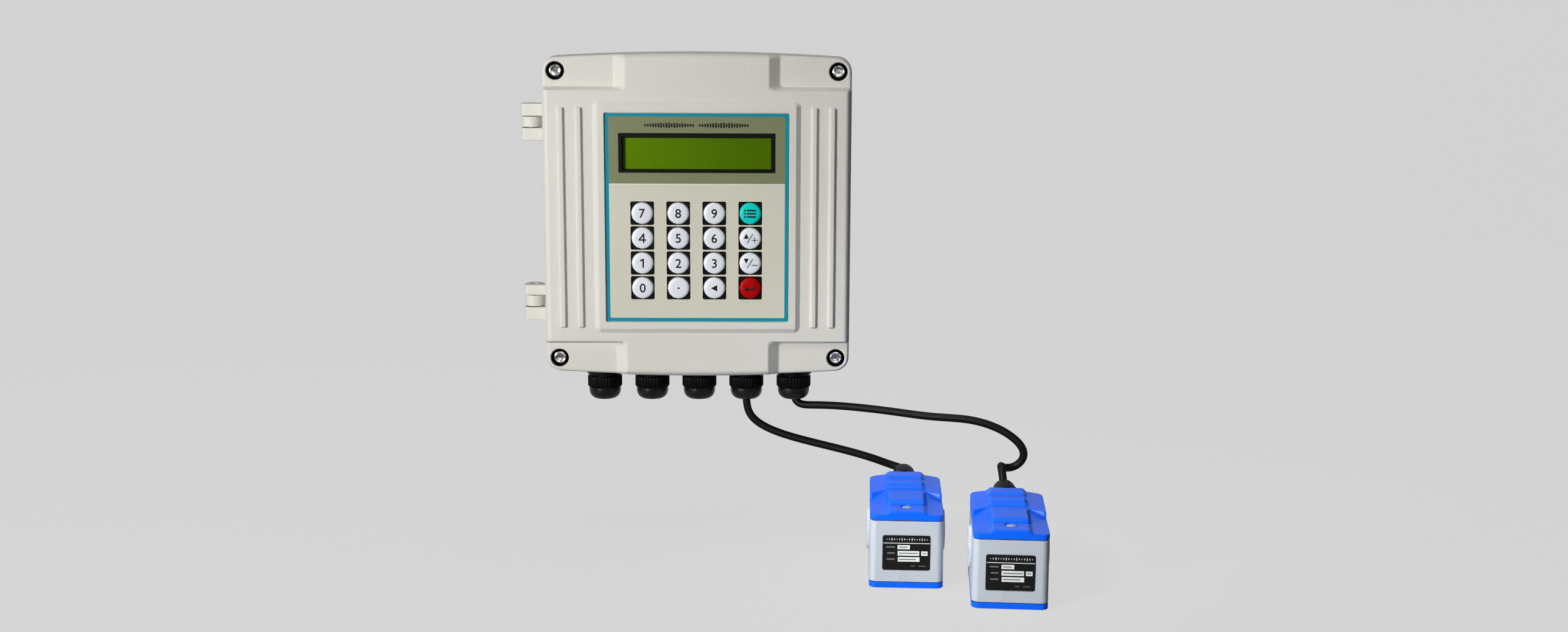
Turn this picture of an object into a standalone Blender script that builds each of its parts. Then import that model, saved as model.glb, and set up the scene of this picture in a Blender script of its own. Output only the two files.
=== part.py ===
"""Wall-mount ultrasonic flow converter with two clamp-on ultrasonic transducers.

Frame: metres, +Z up, X to the right as seen from the front, the wall is the plane Y = 0
and the unit stands out of it towards -Y. The origin is the centre of the rear face.
All dimensions below are in millimetres; "d" is the distance in front of the wall (d = -Y).
"""
import math

import bmesh
import bpy
from mathutils import Vector

for old in list(bpy.data.objects):
    bpy.data.objects.remove(old, do_unlink=True)

MM = 0.001
OUT, UP, REARWARD = (0, -1, 0), (0, 0, 1), (0, 1, 0)    # directions of axes

# ---------------------------------------------------------------- driving dimensions (mm)
BOX_W, BOX_H = 170.0, 180.0        # converter enclosure, front view
EDGE_SAG = 2.8                     # top and bottom edges are shallow arcs
CORNER_R = 8.5
BACK_TAPER = 4.6                   # the base is this much smaller per side at the wall
PART_D = 36.0                      # parting plane between base and lid
GAP = 0.3                          # clearance between neighbouring pieces
LID_REAR_D = PART_D + GAP
LID_D, FRAME_D, PAD_D = 54.0, 56.0, 49.5              # lid face, raised frame, corner pads
FLOOR_D = 4.0                      # thickness of the base floor
BASE_CAVITY = (76.5, 66.0, 64.5, 81.5)                # as cross() takes them
LID_CAVITY, LID_CAVITY_D = (78.5, 66.0, 40.0, 82.5), 51.0
SEAL_X1, SEAL_Z1, SEAL_X2, SEAL_Z2 = 81.6, 69.0, 67.0, 84.8   # centre line of the lid seal

SCREW_X, SCREW_Z = 77.2, 79.7      # lid screws, M4
COUNTERBORE_D, COUNTERBORE_R = 44.0, 5.0
HEAD_R, HEAD_H, SHANK_R = 3.5, 4.0, 2.0
SCREW_END_D = 31.0
HEAD_CHAMFER = 0.5

HINGE_X, HINGE_D, KNUCKLE_R, PIN_R, BORE_R = -91.9, 36.3, 5.5, 2.0, 2.08
PIN_INSET = 0.4                    # pin end below the knuckle end, and its chamfer
HINGES = {                         # lid knuckle, base knuckle, lid knuckle (z ranges)
    "upper": ((54.6, 61.4), (48.4, 54.2), (41.1, 48.0)),
    "lower": ((-45.3, -39.6), (-51.9, -45.7), (-59.6, -52.3)),
}
HINGE_ORIGIN = (HINGE_X, -HINGE_D, 0.0)

FRAME_X, FRAME_Z0, FRAME_Z1 = 54.2, -62.0, 61.0       # raised panel frame, plateau
FRAME_DRAFT = 2.6                  # its foot is this much wider per side
RIB_X, RIB_Z0, RIB_Z1 = (64.3, 74.1), -62.0, 60.5     # upright ribs on each side of it
RIB_HALF, RIB_H, RIB_DRAFT = 2.05, 1.7, 0.5
OVERLAY_X, OVERLAY_Z0, OVERLAY_Z1 = 50.1, -57.8, 57.1
OVERLAY_D0, OVERLAY_D1 = 54.5, 55.0
OPEN_X, OPEN_Z0, OPEN_Z1 = 46.0, -53.5, 53.0          # opening through the lid face

WINDOW_X, WINDOW_Z0, WINDOW_Z1 = 42.9, 24.7, 46.4     # opening in the overlay
BEZEL_GAP = 0.2
GLASS_X, GLASS_Z0, GLASS_Z1 = 40.9, 26.2, 43.9        # opening in the bezel

KEY_X = (-30.1, -10.35, 9.45, 29.2)
KEY_Z = (2.5, -11.25, -25.15, -39.0)
KEY_NAMES = (("7", "8", "9", "menu"), ("4", "5", "6", "up"),
             ("1", "2", "3", "down"), ("0", "dot", "left", "enter"))
KEY_SLOTS = {"menu": "key_teal", "enter": "key_red"}  # all others are white
KEY_R, KEY_HOLE_R, KEY_CELL = 6.0, 6.35, 13.0
KEY_SIDES = 12
KEY_PLACES = [(x, z) for x in KEY_X for z in KEY_Z]
KEYPAD_GAP, KEYPAD_TOP = 0.4, 20.4
KEYPAD_LEG_X, KEYPAD_LEG_Z = 43.8, (-51.3, 18.6)

BOARD_X, BOARD_Z, BOARD_D0, BOARD_D1 = 72.0, 60.0, 11.3, 12.9     # main board
POST_X, POST_Z = 62.0, 54.0                                      # its posts
KBOARD_X, KBOARD_Z, KBOARD_D0, KBOARD_D1 = 60.0, 57.0, 47.5, 49.1  # keypad board
KPOST_X, KPOST_Z = 54.0, 50.0

WAYS, WAYS_W = 10, 110.0           # terminal block
WAY_PITCH = WAYS_W / WAYS
WAY_X = [-WAYS_W / 2 + WAY_PITCH * (k + 0.5) for k in range(WAYS)]

GLAND_X = (-54.2, -27.0, 0.0, 27.0, 54.2)
GLAND_D = 25.0
GLAND_SIDES = 16
PLUGGED = 3                        # the first glands are closed by a blanking plug
GLAND_BORE_R = 2.7
CABLE_R = 2.2
CABLE_SIDES, CABLE_STEPS = 8, 2

# transducers: front face centre (x, y), turn about Z in degrees
SENSORS = {"a": ((110.9, -140.0), -3.5), "b": ((160.55, -172.5), -5.3)}
SENSOR_Z = -183.5                  # height of their coupling faces
# in a sensor: a across, b from the front face to the rear, h up from the coupling face
SENSOR_HALF, SENSOR_L = 19.3, 64.0
SHOE_H, SPLIT_H = 3.0, 36.0
SENSOR_R = 3.6                     # vertical corner radius
SGLAND_H, SGLAND_END = 38.0, 89.0
SCREW_B = 9.5
COVER_HOLE_R = 1.85
LABEL_HALF, LABEL_H0, LABEL_H1 = 12.5, 9.5, 28.7      # recess for the label plate

# ---------------------------------------------------------------- materials
PAINTS = {                         # base colour, roughness, metallic
    "cast_paint": ((0.60, 0.575, 0.53), 0.55, 0.0),
    "seal_rubber": ((0.03, 0.03, 0.03), 0.85, 0.0),
    "steel": ((0.62, 0.62, 0.63), 0.28, 1.0),
    "overlay_film": ((0.58, 0.56, 0.49), 0.45, 0.0),
    "black_plastic": ((0.012, 0.012, 0.013), 0.4, 0.0),
    "board_green": ((0.02, 0.14, 0.06), 0.5, 0.0),
    "key_white": ((0.78, 0.79, 0.83), 0.3, 0.0),
    "key_teal": ((0.02, 0.50, 0.42), 0.3, 0.0),
    "key_red": ((0.55, 0.006, 0.015), 0.3, 0.0),
    "clear_window": ((0.75, 0.80, 0.78), 0.08, 0.0),
    "display_green": ((0.13, 0.42, 0.01), 0.25, 0.0),
    "terminal_green": ((0.03, 0.30, 0.12), 0.45, 0.0),
    "ribbon_grey": ((0.42, 0.42, 0.43), 0.6, 0.0),
    "gland_black": ((0.010, 0.010, 0.011), 0.35, 0.0),
    "sensor_grey": ((0.50, 0.56, 0.62), 0.5, 0.0),
    "sensor_blue": ((0.035, 0.13, 0.75), 0.35, 0.0),
    "label_black": ((0.015, 0.015, 0.016), 0.5, 0.0),
    "piezo_ceramic": ((0.70, 0.66, 0.55), 0.5, 0.0),
    "cable_black": ((0.012, 0.012, 0.012), 0.5, 0.0),
}
MATERIALS = {}


def material(slot):
    if slot not in MATERIALS:
        colour, rough, metal = PAINTS[slot]
        mat = bpy.data.materials.new(slot)
        mat.use_nodes = True
        shader = mat.node_tree.nodes["Principled BSDF"]
        shader.inputs["Base Color"].default_value = (*colour, 1.0)
        shader.inputs["Roughness"].default_value = rough
        shader.inputs["Metallic"].default_value = metal
        mat.diffuse_color = (*colour, 1.0)
        MATERIALS[slot] = mat
    return MATERIALS[slot]


# ---------------------------------------------------------------- objects
SHARP_ANGLE = math.radians(32)
construction = bpy.data.collections.new("construction")
bpy.context.scene.collection.children.link(construction)
construction.hide_render = True


def make(name, shape, slot=None, origin=(0.0, 0.0, 0.0), parent=None):
    """Object from (points, faces); origin is in the points' frame. Without a slot, a tool."""
    points, faces = shape
    mesh = bpy.data.meshes.new(name)
    mesh.from_pydata([[(p[i] - origin[i]) * MM for i in range(3)] for p in points], [], faces)
    bm = bmesh.new()
    bm.from_mesh(mesh)
    bmesh.ops.recalc_face_normals(bm, faces=bm.faces)
    bm.to_mesh(mesh)
    bm.free()
    obj = bpy.data.objects.new(name, mesh)
    parent_origin = Vector(parent["origin_mm"]) if parent else Vector()
    obj.location = (Vector(origin) - parent_origin) * MM
    obj["origin_mm"] = list(origin)
    obj.parent = parent
    if slot is None:
        construction.objects.link(obj)
        obj.hide_render = True
        obj.display_type = "WIRE"
    else:
        bpy.context.scene.collection.objects.link(obj)
        mesh.materials.append(material(slot))
        mesh.shade_smooth()
        mesh.set_sharp_from_angle(angle=SHARP_ANGLE)
    return obj


def empty(name, place, origin, yaw=0.0):
    """Parent at a place; origin is that place in the frame its children are drawn in."""
    obj = bpy.data.objects.new(name, None)
    obj.empty_display_size = 0.02
    obj.location = [v * MM for v in place]
    obj.rotation_euler = (0.0, 0.0, math.radians(yaw))
    obj["origin_mm"] = list(origin)
    bpy.context.scene.collection.objects.link(obj)
    return obj


def boolean(target, operation, label, shapes, parent):
    """Modifier whose tool holds all the shapes as separate closed bodies."""
    points, faces = [], []
    for shape_points, shape_faces in shapes:
        start = len(points)
        points += list(shape_points)
        faces += [tuple(i + start for i in face) for face in shape_faces]
    tool = make(f"{target.name}.{label}", (points, faces), parent=parent)
    modifier = target.modifiers.new(label, "BOOLEAN")
    modifier.operation = operation
    modifier.solver = "EXACT"
    modifier.object = tool


def cut(target, label, *shapes, parent=None):
    boolean(target, "DIFFERENCE", label, shapes, parent)


def add(target, label, *shapes, parent=None):
    boolean(target, "UNION", label, shapes, parent)


# ---------------------------------------------------------------- shapes
def loft(rings, closed=False):
    """Quads between rings with equal counts; end caps, or joined end to end."""
    count = len(rings[0])
    points = [p for ring in rings for p in ring]
    faces = []
    steps = len(rings) if closed else len(rings) - 1
    for i in range(steps):
        a, b = i * count, ((i + 1) % len(rings)) * count
        for k in range(count):
            n = (k + 1) % count
            faces.append((a + k, a + n, b + n, b + k))
    if not closed:
        faces.append(tuple(range(count))[::-1])
        last = (len(rings) - 1) * count
        faces.append(tuple(range(last, last + count)))
    return points, faces


def box(x0, x1, y0, y1, z0, z1):
    return loft([[(x0, y0, z), (x1, y0, z), (x1, y1, z), (x0, y1, z)] for z in (z0, z1)])


def slab(x0, x1, z0, z1, d0, d1):
    """Box given by its front-view rectangle and its distances from the wall."""
    return box(x0, x1, -d1, -d0, z0, z1)


def ring_at(points, d):
    """Front-view points (x, z) at a distance from the wall."""
    return [(x, -d, z) for x, z in points]


def prism_d(points, d0, d1):
    return loft([ring_at(points, d) for d in (d0, d1)])


def prism_z(points, z0, z1):
    """Prism along Z of an outline given as (x, d)."""
    return loft([[(x, -d, z) for x, d in points] for z in (z0, z1)])


def prism_h(points, h0, h1):
    """Upright prism of a sensor outline given as (a, b)."""
    return loft([[(a, b, h) for a, b in points] for h in (h0, h1)])


def prism_a(points, half):
    """Prism across a sensor of a side profile given as (b, h)."""
    return loft([[(a, b, h) for b, h in points] for a in (-half, half)])


def turn(profile, centre, axis, sides, tube=False):
    """Body of revolution of (radius, distance along axis); tube closes the profile."""
    axis = Vector(axis).normalized()
    side = Vector((0, 0, 1)) if abs(axis.z) < 0.9 else Vector((1, 0, 0))
    u = axis.cross(side).normalized()
    v = axis.cross(u)
    rings = []
    for r, h in profile:
        ring = []
        for k in range(sides):
            t = 2 * math.pi * (k + 0.5) / sides
            p = Vector(centre) + axis * h + u * (r * math.cos(t)) + v * (r * math.sin(t))
            ring.append((p.x, p.y, p.z))
        rings.append(ring)
    return loft(rings, closed=tube)


def drum(x, z, r, d0, d1, sides=16):
    """Cylinder standing out of the wall, from d0 to d1."""
    return turn([(r, d0), (r, d1)], (x, 0, z), OUT, sides)


def post(x, d, r, z0, z1):
    """Cylinder along Z."""
    return turn([(r, z0), (r, z1)], (x, -d, 0), UP, 16)


def corners(x, z):
    return [(sx * x, sz * z) for sx in (-1, 1) for sz in (-1, 1)]


def arc_points(x, d, r, degrees):
    return [(x + r * math.cos(math.radians(t)), d + r * math.sin(math.radians(t)))
            for t in degrees]


def outline(inset):
    """Front view of the enclosure: straight sides, arched top and bottom, round corners."""
    corner_steps, arc_steps = 3, 6
    hw, hh, r = BOX_W / 2 - inset, BOX_H / 2 - inset, CORNER_R
    end = math.pi / 2 - math.atan(2 * EDGE_SAG * (hw - r) / hw ** 2)
    tangent_x = hw - r + r * math.cos(end)
    centre_z = hh - EDGE_SAG * (tangent_x / hw) ** 2 - r * math.sin(end)
    upper = []
    for k in range(corner_steps + 1):
        t = end * k / corner_steps
        upper.append((hw - r + r * math.cos(t), centre_z + r * math.sin(t)))
    for k in range(1, arc_steps):
        x = tangent_x * (1 - 2 * k / arc_steps)
        upper.append((x, hh - EDGE_SAG * (x / hw) ** 2))
    upper += [(-x, z) for x, z in upper[:corner_steps + 1][::-1]]
    return upper + [(-x, -z) for x, z in upper]


def cross(x1, z1, x2, z2):
    """Plus shape: |x|<=x1 & |z|<=z1 together with |x|<=x2 & |z|<=z2 (x1>x2, z2>z1)."""
    return [(x1, -z1), (x1, z1), (x2, z1), (x2, z2), (-x2, z2), (-x2, z1),
            (-x1, z1), (-x1, -z1), (-x2, -z1), (-x2, -z2), (x2, -z2), (x2, -z1)]


def cross_ring(half, d0, d1):
    """A closed ring of width 2*half along the seal line, from d0 to d1."""
    big, small = [cross(SEAL_X1 + s, SEAL_Z1 + s, SEAL_X2 + s, SEAL_Z2 + s)
                  for s in (half, -half)]
    section = ((big, d0), (big, d1), (small, d1), (small, d0))
    return loft([ring_at(points, d) for points, d in section], closed=True)


def round_rect(a0, a1, b0, b1, r, steps=4):
    points = []
    for ca, cb, start in ((a1 - r, b1 - r, 0), (a0 + r, b1 - r, 90),
                          (a0 + r, b0 + r, 180), (a1 - r, b0 + r, 270)):
        points += arc_points(ca, cb, r, [start + 90 * k / steps for k in range(steps + 1)])
    return points


def spline(control, steps):
    """Uniform cubic B-spline through a control polygon, clamped at both ends."""
    pts = [Vector(p) for p in control]
    pts = [pts[0] * 2 - pts[1]] + pts + [pts[-1] * 2 - pts[-2]]
    path = []
    for i in range(len(pts) - 3):
        is_last = i == len(pts) - 4
        for k in range(steps + 1 if is_last else steps):
            t = k / steps
            weights = ((1 - t) ** 3 / 6,
                       (3 * t ** 3 - 6 * t ** 2 + 4) / 6,
                       (-3 * t ** 3 + 3 * t ** 2 + 3 * t + 1) / 6,
                       t ** 3 / 6)
            path.append(sum((pts[i + j] * weights[j] for j in range(4)), Vector()))
    return path


def hose(path, r, sides):
    """Round solid along a path, without twist."""
    angles = [2 * math.pi * (k + 0.5) / sides for k in range(sides)]
    rings = []
    normal = Vector((0, 1, 0))
    for i, p in enumerate(path):
        t = (path[min(i + 1, len(path) - 1)] - path[max(i - 1, 0)]).normalized()
        normal = (normal - t * normal.dot(t)).normalized()
        side = t.cross(normal)
        rings.append([tuple(p + normal * (r * math.cos(a)) + side * (r * math.sin(a)))
                      for a in angles])
    return loft(rings)


# ---------------------------------------------------------------- base housing
def base_knuckle(z0, z1):
    # round in front and on the outer side, behind that a web to the wall of the base
    arc = arc_points(HINGE_X, HINGE_D, KNUCKLE_R, range(0, 271, 30))
    web = [(-83.0, HINGE_D - KNUCKLE_R), (-83.0, 35.6), (-86.5, 35.6)]
    return prism_z(arc + web, z0, z1)


def build_base():
    edge_d, edge_inset = 1.4, 1.2    # chamfer around the rear face
    rings = [ring_at(outline(BACK_TAPER + edge_inset), 0.0)]
    rings += [ring_at(outline(BACK_TAPER * (1 - d / PART_D)), d) for d in (edge_d, PART_D)]
    base = make("base_housing", loft(rings), "cast_paint")
    middles = [middle for _, middle, _ in HINGES.values()]
    add(base, "gland_pads", *[post(x, GLAND_D, 10.6, -90.4, -84.0) for x in GLAND_X])
    add(base, "knuckles", *[base_knuckle(*middle) for middle in middles])
    cut(base, "cavity", prism_d(cross(*BASE_CAVITY), FLOOR_D, PART_D + 1))
    shoulder_d = BOARD_D0 - GAP
    profile = [(5.0, FLOOR_D - 1), (5.0, shoulder_d), (1.4, shoulder_d), (1.4, 14.2)]
    add(base, "board_posts",
        *[turn(profile, (x, 0, z), OUT, 12) for x, z in corners(POST_X, POST_Z)])
    cut(base, "holes",
        *[drum(x, z, 2.1, -1.0, 8.0, 10) for x, z in corners(POST_X, POST_Z)],
        *[drum(x, z, 3.1, 26.0, PART_D + 1) for x, z in corners(SCREW_X, SCREW_Z)],
        *[post(x, GLAND_D, 8.2, -92.0, -79.0) for x in GLAND_X],
        *[post(HINGE_X, HINGE_D, BORE_R, z0 - 1, z1 + 1) for z0, z1 in middles])


def build_hinge_pins():
    for name, (top, _, bottom) in HINGES.items():
        z0, z1 = bottom[0] + PIN_INSET, top[1] - PIN_INSET
        end_r = PIN_R - PIN_INSET
        profile = [(end_r, z0), (PIN_R, z0 + PIN_INSET), (PIN_R, z1 - PIN_INSET), (end_r, z1)]
        make(f"hinge_pin_{name}", turn(profile, HINGE_ORIGIN, UP, 16), "steel",
             origin=(HINGE_X, -HINGE_D, (z0 + z1) / 2))


# ---------------------------------------------------------------- lid and what rides on it
LID_RINGS = ((LID_REAR_D, 0.0), (50.5, 0.5), (52.9, 1.4), (LID_D, 3.6))    # d, inset


def pad_cutter(sx, sz):
    # recessed corner: a long slope towards the middle in x, a short one in z
    rings = []
    for d, x, z in ((PAD_D, 45.3, 71.2), (LID_D + 1.0, 37.9, 69.0)):
        corner = ((x, z), (95.0, z), (95.0, 95.0), (x, 95.0))
        rings.append(ring_at([(sx * a, sz * b) for a, b in corner], d))
    return loft(rings)


def bar(x0, x1, z0, z1, d1, draft):
    """Raised block on the lid face, narrowing by draft on each side at d1."""
    rings = []
    for d, s in ((LID_D - 1.0, 0.0), (d1, draft)):
        rings.append(ring_at([(x0 + s, z0 + s), (x1 - s, z0 + s),
                              (x1 - s, z1 - s), (x0 + s, z1 - s)], d))
    return loft(rings)


def lid_knuckle(z0, z1):
    # flat block in front, round behind
    block = [(-83.5, 36.5), (-83.5, 42.6), (-94.6, 42.6), (-96.7, 41.5), (-97.4, 39.6)]
    arc = arc_points(HINGE_X, HINGE_D, KNUCKLE_R, range(180, 361, 30))
    return prism_z(block + arc, z0, z1)


def build_lid(hinge):
    lid = make("lid", loft([ring_at(outline(inset), d) for d, inset in LID_RINGS]),
               "cast_paint", origin=HINGE_ORIGIN, parent=hinge)
    cut(lid, "corner_pads", *[pad_cutter(sx, sz) for sx, sz in corners(1, 1)])
    ribs = [bar(s * x - RIB_HALF, s * x + RIB_HALF, RIB_Z0, RIB_Z1, LID_D + RIB_H, RIB_DRAFT)
            for s in (-1, 1) for x in RIB_X]
    add(lid, "frame_and_ribs",
        bar(-FRAME_X - FRAME_DRAFT, FRAME_X + FRAME_DRAFT,
            FRAME_Z0 - FRAME_DRAFT, FRAME_Z1 + FRAME_DRAFT, FRAME_D, FRAME_DRAFT),
        *ribs)
    add(lid, "knuckles",
        *[lid_knuckle(*span) for top, _, bottom in HINGES.values() for span in (top, bottom)])
    cut(lid, "cavity", prism_d(cross(*LID_CAVITY), LID_REAR_D - 1, LID_CAVITY_D))
    shoulder_d = KBOARD_D1 + GAP
    profile = [(1.2, 46.4), (1.2, shoulder_d), (3.0, shoulder_d), (3.0, LID_CAVITY_D + 0.6)]
    add(lid, "board_posts",
        *[turn(profile, (x, 0, z), OUT, 10) for x, z in corners(KPOST_X, KPOST_Z)])
    pocket = round_rect(-OVERLAY_X - GAP, OVERLAY_X + GAP,
                        OVERLAY_Z0 - GAP, OVERLAY_Z1 + GAP, 1.8, 2)
    cut(lid, "overlay_pocket", prism_d(pocket, OVERLAY_D0 - GAP, FRAME_D + 1))
    cut(lid, "panel_opening", slab(-OPEN_X, OPEN_X, OPEN_Z0, OPEN_Z1, 50.0, 55.5))
    profile = [(2.3, LID_REAR_D - 1), (2.3, COUNTERBORE_D),
               (COUNTERBORE_R, COUNTERBORE_D), (COUNTERBORE_R, 53.0)]
    cut(lid, "holes",
        *[turn(profile, (x, 0, z), OUT, 16) for x, z in corners(SCREW_X, SCREW_Z)],
        *[post(HINGE_X, HINGE_D, BORE_R, bottom[0] - 1, top[1] + 1)
          for top, _, bottom in HINGES.values()])
    cut(lid, "seal_groove", cross_ring(1.3, LID_REAR_D - 0.5, LID_REAR_D + 2.2))
    make("lid_seal", cross_ring(1.0, LID_REAR_D, LID_REAR_D + 1.9), "seal_rubber",
         origin=HINGE_ORIGIN, parent=hinge)


def build_lid_screws(hinge):
    head_d = COUNTERBORE_D + GAP
    top_d = head_d + HEAD_H
    profile = [(SHANK_R, SCREW_END_D), (SHANK_R, head_d), (HEAD_R, head_d),
               (HEAD_R, top_d - HEAD_CHAMFER), (HEAD_R - HEAD_CHAMFER, top_d)]
    for i, (sx, sz) in enumerate(((-1, 1), (1, 1), (-1, -1), (1, -1)), 1):
        x, z = sx * SCREW_X, sz * SCREW_Z
        screw = make(f"lid_screw_{i}", turn(profile, (x, 0, z), OUT, 16), "steel",
                     origin=(x, -head_d, z), parent=hinge)
        cut(screw, "hex_socket", drum(x, z, 1.73, head_d + 2.0, head_d + 5.0, 6))


def build_overlay(hinge):
    points = round_rect(-OVERLAY_X, OVERLAY_X, OVERLAY_Z0, OVERLAY_Z1, 1.5, 2)
    overlay = make("front_overlay", prism_d(points, OVERLAY_D0, OVERLAY_D1),
                   "overlay_film", parent=hinge)
    half = KEY_CELL / 2
    cut(overlay, "windows",
        slab(-WINDOW_X, WINDOW_X, WINDOW_Z0, WINDOW_Z1, 53.0, 57.0),
        *[slab(x - half, x + half, z - half, z + half, 53.0, 57.0) for x, z in KEY_PLACES])


def build_keypad(hinge):
    half = OPEN_X - KEYPAD_GAP
    frame = make("keypad_frame",
                 slab(-half, half, OPEN_Z0 + KEYPAD_GAP, KEYPAD_TOP, 52.2, 54.1),
                 "black_plastic", parent=hinge)
    add(frame, "legs", *[drum(x, z, 1.3, KBOARD_D1 + GAP, 53.0, 8)
                         for x in (-KEYPAD_LEG_X, KEYPAD_LEG_X) for z in KEYPAD_LEG_Z])
    cut(frame, "key_holes",
        *[drum(x, z, KEY_HOLE_R, 51.0, 55.0, KEY_SIDES) for x, z in KEY_PLACES])

    board = make("keypad_board",
                 slab(-KBOARD_X, KBOARD_X, -KBOARD_Z, KBOARD_Z, KBOARD_D0, KBOARD_D1),
                 "board_green", parent=hinge)
    mid_d = KBOARD_D0 + 0.8
    add(board, "parts",
        *[drum(x, z, 3.0, mid_d, KBOARD_D1 + 0.5, 6) for x, z in KEY_PLACES],
        slab(-59.0, -52.0, -14.0, 14.0, 44.0, mid_d),
        slab(20.0, 40.0, -20.0, 0.0, 45.6, mid_d))
    cut(board, "post_holes",
        *[drum(x, z, 1.6, 46.0, 50.0, 8) for x, z in corners(KPOST_X, KPOST_Z)])

    # flange behind the keypad frame, then the cap with its domed front
    profile = [(6.6, 50.6), (6.6, 51.7), (KEY_R, 51.7), (KEY_R, 55.1), (5.2, 55.9), (2.6, 56.3)]
    for z, labels in zip(KEY_Z, KEY_NAMES):
        for x, label in zip(KEY_X, labels):
            make(f"key_{label}", turn(profile, (x, 0, z), OUT, KEY_SIDES),
                 KEY_SLOTS.get(label, "key_white"), origin=(x, -OVERLAY_D1, z), parent=hinge)


def build_display(hinge):
    rear_d = KBOARD_D1 + GAP
    half, z0, z1 = GLASS_X - GAP, GLASS_Z0 + GAP, GLASS_Z1 - GAP
    make("display_window", slab(-half, half, z0, z1, 52.3, 53.1), "clear_window", parent=hinge)
    make("display_panel", slab(-half, half, z0, z1, rear_d, 52.0), "display_green", parent=hinge)
    bezel = make("display_bezel",
                 slab(-WINDOW_X + BEZEL_GAP, WINDOW_X - BEZEL_GAP,
                      WINDOW_Z0 + BEZEL_GAP, WINDOW_Z1 - BEZEL_GAP, rear_d, 54.8),
                 "black_plastic", parent=hinge)
    cut(bezel, "opening", slab(-GLASS_X, GLASS_X, GLASS_Z0, GLASS_Z1, 48.0, 56.0))


# ---------------------------------------------------------------- electronics in the base
ROOT_D = BOARD_D1 - 0.6            # parts on the main board start inside it
BOARD_BLOCKS = (                   # x0, x1, z0, z1, d0, d1
    (32.0, 66.0, 8.0, 44.0, ROOT_D, 15.0), (35.0, 63.0, 12.0, 40.0, 15.5, 33.0),
    (-20.0, 2.0, 30.0, 46.0, ROOT_D, 27.0), (6.0, 24.0, 30.0, 46.0, ROOT_D, 27.0),
    (-16.0, 10.0, -14.0, 10.0, ROOT_D, 15.4), (-64.0, -56.0, -14.0, 14.0, ROOT_D, 19.0),
    (30.0, 52.0, -30.0, -12.0, ROOT_D, 15.0))
BOARD_CANS = ((22.0, 12.0, 6.0, 29.0), (-34.0, 38.0, 5.0, 25.0), (-34.0, 22.0, 5.0, 25.0))
# columns of BOARD_CANS: x, z, radius, front d

# flat cable from the main board to the keypad board, with slack towards the hinge: x, d
RIBBON_PATH = ((-60.0, 19.4), (-60.3, 22.0), (-63.0, 24.8), (-67.5, 27.8), (-69.5, 32.0),
               (-67.5, 36.5), (-62.0, 40.0), (-57.6, 41.8), (-56.0, 43.6))
RIBBON_HALF_W, RIBBON_HALF_T = 12.0, 0.35


def build_main_board():
    board = make("main_board", slab(-BOARD_X, BOARD_X, -BOARD_Z, BOARD_Z, BOARD_D0, BOARD_D1),
                 "board_green")
    add(board, "parts", *[slab(*block) for block in BOARD_BLOCKS],
        *[drum(x, z, r, ROOT_D, d1, 12) for x, z, r, d1 in BOARD_CANS])
    add(board, "core", slab(36.0, 62.0, 13.0, 39.0, 14.0, 16.5))
    cut(board, "post_holes",
        *[drum(x, z, 1.8, 10.0, 14.0, 8) for x, z in corners(POST_X, POST_Z)])


def build_terminal_block():
    block = make("terminal_block", slab(-56.0, 56.0, -57.5, -45.5, BOARD_D1 + GAP, 24.5),
                 "terminal_green")
    cut(block, "wire_entries",
        *[slab(x - 3.2, x + 3.2, -58.5, -52.5, 15.0, 20.5) for x in WAY_X])
    cut(block, "screw_wells", *[drum(x, -49.0, 2.6, 21.5, 26.0, 8) for x in WAY_X])


def build_ribbon():
    rings = []
    w, last = RIBBON_HALF_W, len(RIBBON_PATH) - 1
    for i, (x, d) in enumerate(RIBBON_PATH):
        ax, ad = RIBBON_PATH[max(i - 1, 0)]
        bx, bd = RIBBON_PATH[min(i + 1, last)]
        size = math.hypot(bx - ax, bd - ad)
        nx = (bd - ad) / size * RIBBON_HALF_T
        nd = -(bx - ax) / size * RIBBON_HALF_T
        rings.append([(x + nx, -(d + nd), -w), (x - nx, -(d - nd), -w),
                      (x - nx, -(d - nd), w), (x + nx, -(d + nd), w)])
    make("ribbon_cable", loft(rings), "ribbon_grey")


# ---------------------------------------------------------------- converter cable glands
# profiles: radius, z
GLAND_BODY = [(7.9, -76.0), (7.9, -90.7), (10.2, -90.7), (10.2, -94.0), (7.5, -94.0),
              (7.5, -101.0)]
GLAND_BODY_BORE = [(GLAND_BORE_R, -101.0), (GLAND_BORE_R, -76.0)]
GLAND_NUT = [(9.9, -94.4), (9.9, -102.4), (8.9, -103.4), (7.6, -106.5), (5.6, -107.8),
             (3.9, -107.8), (GLAND_BORE_R, -105.2), (GLAND_BORE_R, -103.8), (7.9, -101.4),
             (7.9, -94.4)]


def build_glands():
    for i, x in enumerate(GLAND_X, 1):
        centre = (x, -GLAND_D, 0)
        wired = i > PLUGGED
        body = GLAND_BODY + GLAND_BODY_BORE if wired else GLAND_BODY
        make(f"gland_body_{i}", turn(body, centre, UP, GLAND_SIDES, tube=wired),
             "gland_black", origin=(x, -GLAND_D, -91.0))
        make(f"gland_nut_{i}", turn(GLAND_NUT, centre, UP, GLAND_SIDES, tube=True),
             "gland_black", origin=(x, -GLAND_D, -98.0))


# ---------------------------------------------------------------- transducers
WEDGE = [(19.0, SHOE_H - 0.5), (52.0, SHOE_H - 0.5), (52.0, 9.0), (26.0, 26.0), (19.0, 26.0)]
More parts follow.
